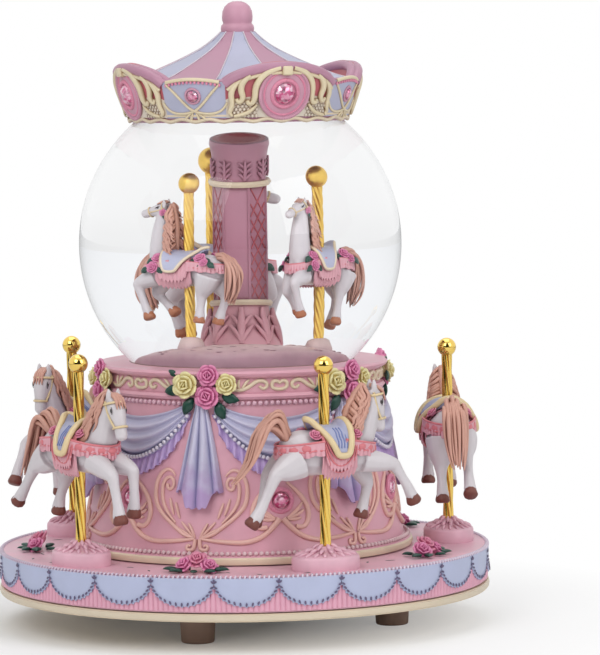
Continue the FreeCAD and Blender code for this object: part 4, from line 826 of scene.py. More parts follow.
def make_platform_dressing():
    pedestal = lathe([(0, PLATFORM_TOP), (12.5, PLATFORM_TOP), (12.7, 28.8), (12.6, 32.4), (12.2, 33.1),
                      (11.0, 33.5), (7.4, 34.2), (4.8, 35.0), (3.4, 36.4), (0, 36.6)], 64, False)
    leaves = []
    for count, inner, outer, low, high, width in ((19, 7.2, 11.0, 33.3, 34.2, 0.85),
                                                  (12, 4.4, 7.8, 34.2, 35.4, 0.9),
                                                  (7, 2.2, 4.6, 35.2, 36.9, 0.8)):
        for angle in evenly(count):
            leaves.append([(spot(inner, angle, high), 0.5),
                           (spot((inner + outer) / 2, angle, high - 0.2), width),
                           (spot(outer, angle, low + 0.3), 0.7), (spot(outer + 0.6, angle, low), 0.2)])
    relief = tubes(leaves, 2, 3)
    stand = painted(join([pedestal, relief]), PLATFORM_PINK, 50)
    moved(stand, at(0, -POLE_CIRCLE, 0) @ Matrix.Diagonal((1, 0.74, 1, 1)))
    stands = ring(stand, OUTER_HORSES, POLE_START)
    piece(stands, "pedestals", "outer_carousel", "pink_resin", "pole_pedestals")

    parts = []
    for kind, side, out, height, size in (("pink", -4.0, 0.6, 30.4, 4.0), ("pale", 0.4, -0.6, 32.0, 4.3),
                                          ("pink", 4.9, 0.9, 30.2, 3.7)):
        place = (side, -POLE_CIRCLE - out, height)
        parts.append(bloom(kind, place, (side * 0.1, -0.6, 0.8), size, 40 * side))
    for side, out, aim, length in ((-6.0, 1.0, 180, 6.0), (-4.0, 3.0, 215, 5.5), (6.0, 1.0, 0, 6.5),
                                   (4.0, 3.2, 325, 5.5), (0.5, 3.6, 270, 4.5), (-3.0, -3.0, 140, 5.0),
                                   (4.0, -3.0, 40, 5.0)):
        angle = math.radians(aim)
        along = (math.cos(angle), math.sin(angle), 0.12)
        parts.append(sprig((side, -POLE_CIRCLE - out, 28.5), along, (0, 0, 1), length, 0.9))
    spray = ring(join(parts), OUTER_HORSES, SPRAY_START)
    piece(spray, "platform_sprays", "outer_carousel", "rose_paint", "platform_roses")

    marks = []
    for middle in evenly(OUTER_HORSES, SPRAY_START):
        for off in (-22, -14, 9, 16, 27):
            angle = middle + off + dice.uniform(-1, 1)
            circle = dice.uniform(71, 85)
            aim = math.radians(angle + dice.uniform(-60, 60))
            along = (math.cos(aim), math.sin(aim), 0)
            marks.append(facing(spot(circle, angle, PLATFORM_TOP), along, (0, 0, 1)) @
                         Matrix.Diagonal((dice.uniform(2.5, 4.5), 1.3, 0.5, 1)))
    piece(strewn(copied(ONE_LEAF), marks), "platform_leaves", "outer_carousel", "rose_paint")


def twisted(radius, low, high, lobes, turns, groove):
    """A rod of twisted strands along Z."""
    count = lobes * 6
    points = []
    for number in range(count):
        angle = 2 * math.pi * number / count
        reach = radius * (1 - groove + groove * abs(math.cos(angle * lobes / 2)))
        points.append((reach * math.cos(angle), reach * math.sin(angle), low))
    rod = outline(points)
    modified(rod, "SCREW", angle=2 * math.pi * turns, screw_offset=high - low, steps=90, render_steps=90,
             axis="Z", use_merge_vertices=False)
    with editing(rod):
        bpy.ops.mesh.fill_holes(sides=0)
    return smooth(weld(rod), 70)


INNER_HORSES = 3
INNER_CIRCLE = 23.0
INNER_START = -42.5


def make_poles():
    for place, count, circle, start, gilt, rod, height, radius in (
            ("outer", OUTER_HORSES, POLE_CIRCLE, POLE_START, GOLD,
             (2.0, 36.0, 99.0, 6, -0.85, 0.3), 100.9, 3.5),
            ("inner", INNER_HORSES, INNER_CIRCLE, INNER_START, SATIN_GOLD,
             (1.65, 108.0, 158.5, 6, -2.2, 0.24), 160.5, 3.3)):
        knob = painted(ball((0, 0, height), radius, 32, 20), gilt, 60)
        pole = join([coated(twisted(*rod), gilt), knob])
        for number, angle in enumerate(evenly(count, start), 1):
            piece(copied(pole, at(*spot(circle, angle, 0))), "%s_pole_gilt_%d" % (place, number),
                  place + "_carousel", "gilt_metal", "%s_pole_%d" % (place, number))
        bpy.data.objects.remove(pole)


# Globe and what turns in it

GLOBE_CENTRE = 141.0
GLOBE_RADIUS = 60.0
NECK_RADIUS = 38.5
NECK_BOTTOM = 82.2
MOUND_STONES = 130


def make_globe():
    globe = ball((0, 0, GLOBE_CENTRE), GLOBE_RADIUS, 192, 96)
    shoulder = GLOBE_CENTRE - math.sqrt(GLOBE_RADIUS ** 2 - NECK_RADIUS ** 2)
    with editing(globe):
        bpy.ops.mesh.bisect(plane_co=(0, 0, shoulder), plane_no=(0, 0, 1), clear_inner=True, use_fill=False)
        bpy.ops.mesh.extrude_region_move(TRANSFORM_OT_translate={"value": (0, 0, NECK_BOTTOM - shoulder)})
        bpy.ops.mesh.edge_face_add()
    piece(coated(smooth(weld(globe), 50), GLASS), "globe_ball", "base", "globe_glass", "globe")


def make_mound():
    crown = lathe([(0, 97.1), (32.6, 97.1), (33.0, 97.6), (33.0, 103.6), (32.6, 105.4), (31.6, 106.6),
                   (28.0, 108.4), (23.0, 109.8), (16.0, 110.9), (12.6, 111.4), (0, 111.6)], 128, False)
    cones = lathe([(0, 106.5), (5.0, 106.5), (4.6, 109.6), (3.4, 112.4), (2.6, 112.9), (0, 113.0)], 40, False)
    moved(cones, at(0, -INNER_CIRCLE, 0))
    cones = ring(cones, INNER_HORSES, INNER_START)
    stones = []
    for _ in range(MOUND_STONES):
        angle, circle = dice.uniform(0, 360), dice.uniform(20, 31)
        height = 110.6 - 4.0 * (max(0.0, circle - 18) / 13) ** 1.6
        size = Matrix.Scale(dice.uniform(0.6, 1.4), 4)
        stones.append(at(*spot(circle, angle, height - 0.3)) @ size)
    lumps = strewn(bead((1.5, 1.5, 0.4), 2), stones)
    mound = painted(join([crown, cones, lumps]), MOUND, 50)
    piece(mound, "inner_mound", "inner_carousel", "pink_resin", "inner_turntable")


HEX_REACH = 7.5
COLUMN_TURN = -10.0
COLUMN_LEAVES = 8
# Strokes of (circle, angle off, height, radius) on the column's foot and capital
FOOT_RIB = [(10.6, 0, 111.8, 1.0), (10.2, 0, 115.5, 1.5), (8.6, 0, 120.5, 1.1), (8.6, 0, 123.0, 0.5)]
FOOT_LOBES = [[(10.9, 0, 112.6, 0.8), (10.6, 9, 115.8, 0.9), (9.8, 20, 117.6, 0.35)],
              [(9.8, 0, 116.6, 0.7), (9.2, 10, 119.4, 0.75), (8.8, 19, 120.6, 0.3)]]
CURL_RIB = [(7.6, 0, 159.8, 0.6), (7.9, 0, 162.0, 0.7), (8.2, 0, 165.6, 0.3)]
CURL_LOBE = [(7.7, 2, 160.2, 0.4), (8.0, 8, 161.4, 0.55), (8.1, 15, 161.8, 0.2)]
LATTICE_LOW, LATTICE_HIGH, LATTICE_HALF = 126.0, 156.0, 3.0


def upright(stroke, angle, lean=1, rise=0.0):
    """A stroke laid round the axis, leaning to one side or the other."""
    return [(spot(circle, angle + off * lean, height + rise), radius)
            for circle, off, height, radius in stroke]


def make_column():
    foot = lathe([(0, 111.4), (11.2, 111.4), (11.0, 113.0), (9.4, 116.0), (8.2, 120.0), (7.6, 124.0),
                  (0, 124.0)], 64, False)
    strokes = []
    for angle in evenly(COLUMN_LEAVES):
        strokes.append(upright(FOOT_RIB, angle))
        for lean in (-1, 1):
            strokes += [upright(lobe, angle, lean) for lobe in FOOT_LOBES]
    acanthus = tubes(strokes, 2, 4)
    shaft = primitive(bpy.ops.mesh.primitive_cylinder_add, vertices=6, radius=HEX_REACH, depth=35.0,
                      location=(0, 0, GLOBE_CENTRE))
    moved(rounded(shaft, 0.35, 2), turn(COLUMN_TURN - 30))
    capital = lathe([(0, 158.8), (7.6, 158.8), (7.4, 160.0), (7.5, 164.0), (8.2, 168.0), (8.6, 169.4),
                     (8.4, 170.8), (7.6, 171.0), (6.2, 171.0), (5.4, 169.2), (4.6, 168.0), (0, 168.0)], 64,
                    False)
    curls = []
    for angle in evenly(COLUMN_LEAVES, 12):
        curls.append(upright(CURL_RIB, angle))
        for lean in (-1, 1):
            curls += [upright(CURL_LOBE, angle, lean, rise) for rise in (0.0, 1.6, 3.2)]
    relief = tubes(curls, 2, 3)
    flat = HEX_REACH * math.cos(math.radians(30))
    lattice = []
    for index in range(-1, 8):
        start = LATTICE_LOW + index * 4.6
        end = start + 8.2
        if start >= LATTICE_LOW - 5 and end <= LATTICE_HIGH + 5:
            for lean in (-1, 1):
                first = ((-LATTICE_HALF * lean, -flat - 0.05, start), 0.22)
                last = ((LATTICE_HALF * lean, -flat - 0.05, end), 0.22)
                lattice.append([first, first, last, last])
    lines = ring(coated(tubes(lattice, 1, 2), DEEP_PINK), 3, COLUMN_TURN + 60)
    frames = []
    for side in (-1, 1):
        x = side * (HEX_REACH / 2 - 0.15)
        frames.append([((x, -flat, height), 0.3) for height in (125.0, 135.0, 150.0, 157.5)])
    ribs = ring(tubes(frames, 2, 2), 6, COLUMN_TURN)
    coated(capital, COLUMN_PINK).data.materials.append(DEEP_PINK)
    for face in capital.data.polygons:
        if face.center.z > 167 and Vector((face.center.x, face.center.y)).length < 7.0:
            face.material_index = 1
    carved = coated(join([foot, acanthus]), CARVED_FOOT)
    pink = coated(join([shaft, relief, ribs]), COLUMN_PINK)
    pink = smooth(join([pink, carved, capital]), 45)
    rings = [lathe([(5, height - 0.8), (8.4, height - 0.8), (8.9, height), (8.4, height + 0.8),
                    (5, height + 0.8)], 64) for height in (124.4, 158.4)]
    cream = painted(join(rings), CREAM)
    piece(join([pink, lines, cream]), "inner_column_carved", "inner_carousel", "pink_resin", "inner_column")


# Canopy

BRIM = 201.8
EAVES = 187.0
WEDGES = 12
WEDGE = 360 / WEDGES
WAVES = 24
SIDES = 4
PLAQUE_START = 22.5
WEDGE_START = -11.0
FAN_START = -22.5


def canopy_radius(height):
    return 40.2 + 4.2 * (height - EAVES) / (BRIM - EAVES)


def on_canopy(along, height, lift=0.0):
    return spot(canopy_radius(height) + lift, math.degrees(along / 43.0), height)


ROOF = [(42.6, 202.2), (40.0, 202.4), (34.0, 204.4), (29.0, 206.6), (22.8, 209.2), (14.5, 213.2),
        (9.5, 216.6), (6.4, 219.6)]


def make_canopy():
    profile = ([(38.9, EAVES), (40.0, 186.7), (40.4, 187.2)] +
               [(canopy_radius(height), height) for height in (188.5, 191, 194, 197, 200)] +
               [(44.4, BRIM), (43.6, 202.4)] + ROOF +
               [(0, 219.6), (0, 214.0), (10, 210.0), (26, 203.0), (34.5, 196.0), (38.4, 189.0)])
    # The roof takes the darker roof pink, a painted shade.
    shell = coated(moved(lathe(profile, 180), turn(WEDGE_START)), ROOF_SHADED_PINK)
    shell.data.materials.append(LAVENDER)
    for face in shell.data.polygons:
        centre = face.center
        angle = math.degrees(math.atan2(centre.x, -centre.y))
        wedge = int((angle + 360 - WEDGE_START) // WEDGE)
        if face.normal.z > 0.2 and centre.z > 202.2 and wedge % 2 == 0:
            face.material_index = 1
    smooth(shell, 30)
    seams = []
    for angle in evenly(WEDGES, WEDGE_START):
        seams.append([(spot(radius, angle, height + 0.05), 0.28) for radius, height in ROOF])
    piping = drawn(seams, PIPING)
    wave = []
    for angle in evenly(WAVES * 4):
        wave.append((spot(40.6, angle, 187.6 + 0.7 * math.cos(angle * math.pi / 180 * WAVES)), 0.75))
    trim = drawn([wave], CREAM, steps=2, looped=True)
    band = lathe([(40.2, 188.9), (41.2, 188.9), (41.3, 189.4), (41.2, 189.9), (40.2, 189.9)], 128)
    piece(join([shell, piping, trim, painted(band, CREAM)]), "canopy_crown", "base", "pink_resin", "canopy")


PLAQUE_HALF = 21.5
PLAQUE_LOW = 188.6


def plaque_top(across):
    return 201.4 + 6.2 * max(0.0, 1 - across * across) ** 0.75


def mirrored(flat, lift):
    return [[(on_canopy(side * along, height, lift), radius) for along, height, radius in stroke]
            for side in (-1, 1) for stroke in flat]


PLAQUE_SCROLLS = [
    [(12.6, 203.6, 0.6), (15.2, 201.8, 1.2), (16.2, 198.8, 1.3), (15.2, 196.2, 1.1), (15.8, 194.4, 1.0),
     (17.2, 194.0, 0.9), (17.6, 195.4, 0.7)],
    [(16.4, 201.6, 0.6), (18.6, 199.6, 1.1), (19.6, 196.8, 1.2), (19.0, 194.0, 1.0), (19.6, 191.6, 0.9),
     (20.4, 190.2, 0.8), (19.2, 189.2, 0.6)],
    [(10.2, 193.2, 0.5), (12.2, 191.0, 0.8), (15.0, 189.6, 0.8), (18.6, 189.0, 0.6)],
    [(2.4, 206.2, 0.8), (6.4, 205.2, 1.1), (9.4, 202.6, 1.3), (10.9, 199.2, 1.3), (10.9, 195.8, 1.2),
     (11.8, 193.6, 1.0), (13.4, 193.4, 0.9), (13.8, 194.8, 0.8)],
]
STONE_TILT = 15.8


def canopy_seat(height, lift):
    """Where a stone sits square to the leaning wall."""
    return at(0, -canopy_radius(height) - lift, height) @ tilt(STONE_TILT, "X")


def make_plaques():
    def place(across, down):
        height = PLAQUE_LOW + (plaque_top(across) - PLAQUE_LOW) * (1 - down)
        return on_canopy(across * PLAQUE_HALF, height, 0.5)

    plate = sheet(48, 14, place, 4.0, DEEP_PINK)
    plate.data.materials.append(SCALE_CREAM)
    for face in plate.data.polygons:
        if face.center.z < 195.4:
            face.material_index = 1
    arch, line = [], []
    for step in range(25):
        across = -1 + step / 12
        arch.append((on_canopy(across * PLAQUE_HALF, plaque_top(across) - 0.9, -0.6), 1.9))
        line.append((on_canopy(across * PLAQUE_HALF * 0.96, plaque_top(across) - 2.9, 0.8), 0.75))
    # The hood and its backing take the darker roof pink, a painted shade.
    hood = drawn([arch], ROOF_SHADED_PINK, 4, 3)
    behind = [(point + Vector((0, 2.4, 0)), radius) for point, radius in arch]
    backing = drawn([behind], ROOF_SHADED_PINK, 4, 3)
    line = drawn([line], OLD_CREAM, steps=3)
    carved = drawn(mirrored(PLAQUE_SCROLLS, 1.0), OLD_CREAM)
    scales = []
    for column in range(6):
        for row in range(5):
            along = 10.2 + column * 1.5 + (row % 2) * 0.75
            for side in (-1, 1):
                scales.append(at(*on_canopy(side * along, 189.2 + row * 1.15, 0.6)))
    lattice = beaded((0.72, 0.5, 0.85), scales, SCALE_CREAM, 60)
    bpy.ops.object.select_all(action="DESELECT")
    bpy.ops.mesh.primitive_cube_add(size=1, location=(0, -canopy_radius(205.0) - 0.9, 205.2))
    bpy.ops.transform.resize(value=(4.0, 3.0, 3.4))
    bpy.ops.object.transform_apply()
    key = painted(rounded(bpy.context.object, 0.7), OLD_CREAM)
    seat = canopy_seat(197.1, 0.4)
    rings = [moved(bezel(9.4, 0.7, 64, CANOPY_PINK), seat), moved(bezel(8.0, 0.5, 60, PALE_ROSE), seat),
             moved(bezel(5.0, 0.8, 30, PALE_ROSE), seat @ at(0, -0.5, 0))]
    disc = lathe([(0, -1.5), (9.6, -1.5), (9.6, 0.3), (7.2, 0.3), (6.6, 0.6), (0, 0.6)], 64, False)
    disc = painted(moved(disc, seat @ tilt(90, "X")), CANOPY_PINK)
    plaque = join([plate, hood, backing, line, carved, lattice, key, disc] + rings)
    piece(ring(plaque, SIDES, PLAQUE_START), "canopy_plaques", "base", "pink_resin")
    jewel = moved(cut_stone(4.5), seat @ at(0, -1.5, 0))
    jewels = ring(jewel, SIDES, PLAQUE_START)
    piece(jewels, "canopy_large_stones", "base", "gem_acrylic", "canopy_large_gems")


FAN_HALF = 13.4
FAN_SCROLLS = [
    [(10.2, 200.6, 0.5), (7.6, 198.0, 0.55), (4.6, 194.6, 0.55), (1.8, 191.9, 0.55), (0.0, 190.9, 0.55),
     (-3.6, 190.0, 0.5), (-8.0, 190.0, 0.5), (-11.6, 191.6, 0.5), (-12.8, 194.0, 0.5)],
    [(0.6, 190.4, 0.3), (1.4, 188.8, 0.6), (1.8, 187.6, 0.5)],
    [(0.8, 190.6, 0.3), (3.0, 189.2, 0.6), (4.2, 188.0, 0.5)],
]


def make_fans():
    def place(across, down):
        return on_canopy(across * FAN_HALF, 188.4 + 13.0 * (1 - down), 0.3)

    panel = sheet(30, 8, place, 1.2, LAVENDER)
    carved = drawn(mirrored(FAN_SCROLLS, 0.4), OLD_CREAM)
    dots, rail = [], []
    for step in range(15):
        across = -1 + step / 7
        along = across * 10.2
        height = 200.8 + 1.1 * (1 - across * across)
        dots.append(at(*on_canopy(along, height - 0.5, 0.5)))
        rail.append((on_canopy(along, height + 0.5, 0.2), 0.7))
    edge = beaded((0.55, 0.5, 0.7), dots, PALE_ROSE, 60, 2)
    rail = drawn([rail], OLD_CREAM, steps=2)
    seat = canopy_seat(196.4, 0.3)
    hoop = moved(bezel(2.7, 0.5, 20, CANOPY_PINK), seat)
    fans = ring(join([panel, carved, edge, rail, hoop]), SIDES, FAN_START)
    piece(fans, "canopy_fans", "base", "lavender_resin")
    jewel = moved(cut_stone(2.35), seat @ at(0, -0.8, 0))
    jewels = ring(jewel, SIDES, FAN_START)
    piece(jewels, "canopy_small_stones", "base", "gem_acrylic", "canopy_small_gems")


def make_finial():
    knob = lathe([(0, 219.0), (5.7, 219.0), (6.1, 219.8), (6.2, 221.0), (6.0, 222.0), (5.4, 222.6),
                  (5.3, 223.0), (5.6, 223.8), (5.7, 225.2), (5.5, 227.2), (4.7, 229.0), (3.3, 230.3),
                  (1.7, 230.9), (0, 231.0)], 64, False)
    piece(painted(knob, CANOPY_PINK, 50), "finial_knob", "base", "finial_resin", "finial")


# Horses, modelled facing +X about the middle of the body, then put on their poles

POSES = {
    "leaping": dict(
        fore_near=((25, -4.5), (30.4, -13), (32, -16.6)),
        fore_far=((18.5, -12), (17, -18.5), (16.2, -21.6)),
        hind_near=((-20.5, -6), (-26.6, -18.6), (-29, -21.8)),
        hind_far=((-20, -7), (-23, -19.6), (-24.4, -22.2)),
        neck=((12.5, 3), (17, 14.5), (18, 20.4)), head=((18.6, 20.6), (20.8, 14.6), (21.4, 8.6)),
        mane=((15.4, 24), (11.4, 19), (8.8, 13), (6.6, 8.6)),
        tail=((-14.5, 6), (-17.5, 13.2), (-23, 12), (-26, 3.6), (-29, -3), (-33.4, -7.4))),
    "cantering": dict(
        fore_near=((24.6, -7), (27.6, -17.6), (28.6, -21.4)),
        fore_far=((25.4, -5.6), (26, -16), (25.6, -19.8)),
        hind_near=((-21, -7), (-28, -16), (-30.6, -19.2)),
        hind_far=((-14.5, -12), (-18, -19), (-18.6, -22.2)),
        neck=((12.5, 3), (17.6, 13), (19.6, 18.4)), head=((20.2, 18.6), (23.2, 12.8), (24.6, 7.0)),
        mane=((17, 22.4), (12.4, 18), (9.4, 12.6), (7.0, 8.6)),
        tail=((-14.5, 6), (-18, 12), (-22.6, 10), (-25, 2), (-28, -5), (-31.4, -10))),
    "prancing": dict(
        fore_far=((16.9, -4.3), (14.4, -12.2), (13.6, -14.6)),
        fore_near=((13.5, -7.5), (9.4, -11.6), (8.2, -13.0)),
        hind_far=((-6.6, -8.5), (-5.7, -14.6), (-5.4, -16.6)),
        hind_near=((-12.2, -9), (-9.8, -14.8), (-9.0, -17.0)),
        neck=((10.0, 3), (9.8, 13), (8.8, 19.5)), head=((8.2, 21.4), (11.6, 20.6), (15.6, 19.2)),
        mane=((6.0, 23.2), (4.8, 17.5), (4.6, 12.0), (4.4, 7.4)),
        tail=((-11.6, 5), (-15, 5.4), (-17.8, 1), (-17.2, -4.5), (-15.8, -8.6), (-15.0, -11.2))),
}
# How stout a horse is, for the outer ones and for the inner ones
Build = namedtuple("Build", "girth length limb head")
BUILDS = {False: Build(1.0, 1.0, 1.0, 1.0), True: Build(0.68, 0.8, 0.76, 0.66)}
LEG_SPREAD = 4.4
VOXEL = 0.42
MANE_STRANDS = 34
TAIL_STRANDS = 26


def side_on(point, left=0.0):
    return Vector((point[0], left, point[1]))


def traced(pose, part):
    return [side_on(point) for point in pose[part]]


def brow_of(axis):
    """The direction square to a head's axis, to the front."""
    brow = Vector((-axis.z, 0, axis.x))
    return -brow if brow.x < 0 else brow


def between(first, second, share):
    return Vector(first).lerp(Vector(second), share)


def along_path(path, share):
    """The place at a share of the way along a path of points."""
    reach = share * (len(path) - 1)
    index = min(int(reach), len(path) - 2)
    return path[index].lerp(path[index + 1], reach - index)


def horse_body(pose, build):
    girth, length, limb, head = build
    trunk = ((-17.0, 1.6, 3.6), (-14.2, 1.2, 7.0), (-9.0, 0.8, 8.4), (0, -0.2, 7.5), (9.5, 0.4, 8.5),
             (14.2, 0.8, 6.8), (17.2, 1.4, 3.8))
    strokes = [[((f * length, 0, u * girth), radius * girth) for f, u, radius in trunk]]
    hooves = []
    for key, root, radii in (("fore", (13.0, -2.5), (4.6, 2.7, 1.7, 1.9)),
                             ("hind", (-11.5, -2.0), (6.4, 3.0, 1.75, 2.0))):
        hip, shin, thin, foot = [radius * limb for radius in radii]
        for side, left in (("near", -LEG_SPREAD * girth), ("far", LEG_SPREAD * girth)):
            bend, fetlock, tip = pose[key + "_" + side]
            start = side_on((root[0] * length, root[1] * girth), left * 0.8)
            knee, ankle, end = side_on(bend, left), side_on(fetlock, left), side_on(tip, left)
            strokes.append([(start, hip), (between(start, knee, 0.55), hip * 0.82), (knee, shin * 0.9),
                            (between(knee, ankle, 0.15), shin * 0.78), (between(knee, ankle, 0.6), thin),
                            (ankle, foot), (end, foot * 1.2)])
            down = (end - ankle).normalized() * limb
            hooves.append([(end - down * 0.8, 2.0 * limb), (end + down * 0.6, 2.5 * limb),
                           (end + down * 2.3, 2.9 * limb), (end + down * 2.9, 2.2 * limb)])
            for spread in (-1.6, -0.6, 0.6, 1.6):
                back = Vector((-0.9, spread, 0)) * limb
                strokes.append([(ankle + back * 0.4, 0.9 * limb),
                                (between(ankle, end, 0.6) + back, 0.95 * limb),
                                (end + down * 0.9 + back * 1.3, 0.35 * limb)])
    low, middle, high = traced(pose, "neck")
    strokes.append([(side_on((9.5 * length, 1.5)), 6.6 * girth), (low, 6.2 * girth),
                    (middle, 4.4 * head ** 0.7), (high, 3.5 * head),
                    (high + (high - middle) * 0.2, 3.1 * head)])
    poll, cheek, muzzle = traced(pose, "head")
    ahead = (muzzle - cheek).normalized() * head
    strokes.append([(poll - (cheek - poll) * 0.2, 2.8 * head), (between(poll, cheek, 0.2), 3.7 * head),
                    (between(poll, cheek, 0.75), 3.3 * head), (between(cheek, muzzle, 0.4), 2.35 * head),
                    (muzzle, 2.3 * head), (muzzle + ahead * 1.3, 2.0 * head),
                    (muzzle + ahead * 1.9, 0.7 * head)])
    for left in (-1.9 * head, 1.9 * head):
        strokes.append([(poll + Vector((0, left, 1.5 * head)), 1.3 * head),
                        (poll + Vector((0, left * 1.1, 3.8 * head)), 1.1 * head),
                        (poll + Vector((0.1, left * 1.15, 5.2 * head)), 0.3)])
    body = tubes(strokes, 4, 5)
    modified(body, "REMESH", mode="VOXEL", voxel_size=VOXEL)
    modified(body, "SMOOTH", factor=0.5, iterations=6)
    return painted(body, COAT_WHITE, 180), hooves


def horse_hair(pose, build):
    girth, head = build.girth, build.head
    strokes = []
    crest = traced(pose, "mane")
    bones = traced(pose, "neck")[::-1]
    for side in (-1, 1):
        for number in range(MANE_STRANDS):
            share = number / (MANE_STRANDS - 1)
            start = along_path(crest, share) + Vector((0, side * 0.3, dice.uniform(-0.4, 0.5)))
            inward = along_path(bones, share) - start
            out = (3.4 + 2.4 * share) * head
            long = dice.uniform(5.5, 10.5) * head
            sway = dice.uniform(-3.0, 0.4) * head
            places = [start]
            for toward, wide, fall, curl in ((0.25, 0.75, 0.05, 0), (0.4, 1.12, 0.35, 0.9),
                                             (0.3, 1.2, 0.65, -0.7), (0.2, 1.3, 0.95, 0.5),
                                             (0.1, 1.35, 1.2, -1.3)):
                drop = Vector((sway + curl * head, side * out * wide, -long * fall))
                places.append(start + inward * toward + drop)
            strokes.append(list(zip(places, [value * head for value in (0.6, 0.85, 0.8, 0.7, 0.5, 0.12)])))
    strokes.append(list(zip(crest, [value * head for value in (1.5, 2.0, 1.8, 1.1)])))
    poll, cheek, _ = traced(pose, "head")
    front = brow_of((cheek - poll).normalized()) * 3.4 * head
    for number in range(4):
        left = (number - 1.5) * 0.7 * head
        strokes.append([(poll + Vector((-0.4, left, 3.0 * head)), 0.8 * head),
                        (poll + front * 0.9 + Vector((0, left * 1.3, 0.9 * head)), 0.85 * head),
                        (between(poll, cheek, 0.3) + front * 1.05 + Vector((0, left * 1.5, 0)), 0.6 * head),
                        (between(poll, cheek, 0.62) + front * 0.95 + Vector((0, left * 1.9, 0)), 0.15)])
    path = traced(pose, "tail")
    for number in range(TAIL_STRANDS):
        turned = 2 * math.pi * number / TAIL_STRANDS * 2.4
        out = (0.4 + 2.3 * (number % 4) / 3) * girth
        phase = dice.uniform(0, 6)
        stroke = []
        for index, point in enumerate(path):
            share = index / (len(path) - 1)
            swell = out * (0.35 + 1.25 * math.sin(math.pi * min(0.85, share * 0.8 + 0.08)))
            shift = Vector((0.7 * math.cos(turned), math.sin(turned), 0.8 * math.cos(turned))) * swell
            wave = 0.7 * girth * math.sin(phase + index * 1.7)
            stroke.append((point + shift + Vector((wave, 0, wave * 0.6)),
                           1.05 * girth * (1 - 0.78 * share ** 2)))
        strokes.append(stroke)
    return drawn(strokes, MANE, degrees=80)


def horse_saddle(around, inner):
    """Blanket, saddle and rim. around lays a place on the trunk from how far forward it is, its angle off
    the top and its radius."""
    parts = []
    for half, swing, taper, radius, depth, flare in ((6.7, 148, 26, 8.5, 0.45, 1.3),
                                                     (5.6, 120, 24, 9.2, 0.4, 1.0)):
        def blanket_place(across, down):
            forward = 2.3 + half * across
            edge = abs(2 * down - 1)
            ripple = math.cos(forward * 4.6)
            angle = (2 * down - 1) * (swing - taper * across ** 4 + 4 * ripple * edge)
            pleat = depth * ripple * max(0.0, edge - 0.4)
            return around(forward, angle, radius + pleat + flare * edge ** 6)

        parts.append(sheet(64, 44, blanket_place, 0.5, TACK_PINK, 70, 0.0))

    def back_edge(side):
        return -7.6 + 8.6 * abs(side) ** 0.8

    def front_edge(side):
        return 7.0 - 2.2 * abs(side) ** 3

    def seat_radius(forward, side):
        crown = max(0.0, math.cos(1.5 * side)) ** 2
        return (9.7 + 0.7 * abs(side) + crown * (2.7 * math.exp(-((forward + 7.0) / 2.0) ** 2) +
                                                 1.9 * math.exp(-((forward - 6.4) / 1.5) ** 2)))

    def seat_place(across, down):
        side = 2 * down - 1
        forward = back_edge(side) + (front_edge(side) - back_edge(side)) * (across + 1) / 2
        return around(forward, side * 90, seat_radius(forward, side))

    parts.append(sheet(24, 44, seat_place, 1.6, LAVENDER if inner else SEAT, 70, 0.0))
    loop = []
    for edge, order in ((back_edge, 1), (front_edge, -1)):
        for step in range(17):
            side = order * (-1 + step / 8)
            radius = seat_radius(edge(side), side) + 0.6
            loop.append((around(edge(side), side * 90, radius), 0.6 if inner else 1.2))
    parts.append(drawn([loop], CREAM if inner else RIM, steps=3, degrees=70, looped=True))
    if not inner:
        lines, hems = [], []
        for sign in (-1, 1):
            for step in range(5):
                line = []
                for index in range(5):
                    side = (0.32 + 0.13 * index) * sign
                    forward = 1.0 + step * 1.1 + 0.5 * (index % 2)
                    line.append((around(forward, side * 90, seat_radius(2, side) + 0.9), 0.22))
                lines.append(line)
            for wide, deep in ((5.2, 92), (6.0, 106), (6.5, 122)):
                hem = []
                for step in range(17):
                    turned = math.pi * step / 16
                    angle = sign * (46 + (deep - 40) * math.sin(turned))
                    forward = 2.4 + wide * math.cos(turned)
                    hem.append((around(forward, angle, 10.1 - 0.2 * math.sin(turned)), 0.34))
                hems.append(hem)
        parts.append(drawn(lines, SEAT_LINE, 1, 3, 70))
        parts.append(drawn(hems, TACK_RED, steps=2, degrees=70))
    return parts


def horse_straps(build, inner):
    """The breast and rump bands, ruffled, with padded panels."""
    girth, length = build.girth, build.length
    parts = []
    for front, reach, rise, fall in ((1, 15.4, 5.8, 2.8), (-1, 14.8, 5.4, 1.6)):
        def place(across, down):
            turned = math.radians(across * 88)
            ruffle = 1 + 0.035 * math.cos(across * 70) * down
            scallop = 0.8 * abs(math.cos(across * 13)) * down
            return Vector((front * (3.6 + reach * math.cos(turned) * ruffle) * length,
                           9.7 * math.sin(turned) * ruffle * girth,
                           (rise - fall * math.cos(turned) - 4.4 * down - scallop) * girth))

        parts.append(sheet(120, 6, place, 0.7, TACK_PINK, 70, 0.0))
        strokes = []
        for down in (0.02, 0.62):
            strokes.append([(place(-1 + step / 16, down) * 1.01, 0.42 * girth) for step in range(33)])
        parts.append(drawn(strokes, TACK_RED, steps=2, degrees=70))
        if not inner:
            pads = []
            for across in (-0.7, -0.48, -0.24, 0.0, 0.24, 0.48, 0.7):
                middle = place(across, 0.34)
                out = Vector((middle.x - front * 3.6 * length, middle.y * 2.2, 0))
                pads.append(facing(middle, (0, 0, 1), out) @ Matrix.Scale(girth, 4))
            parts.append(beaded((1.35, 1.9, 0.75), pads, TACK_RED, 80, 2))
    return parts


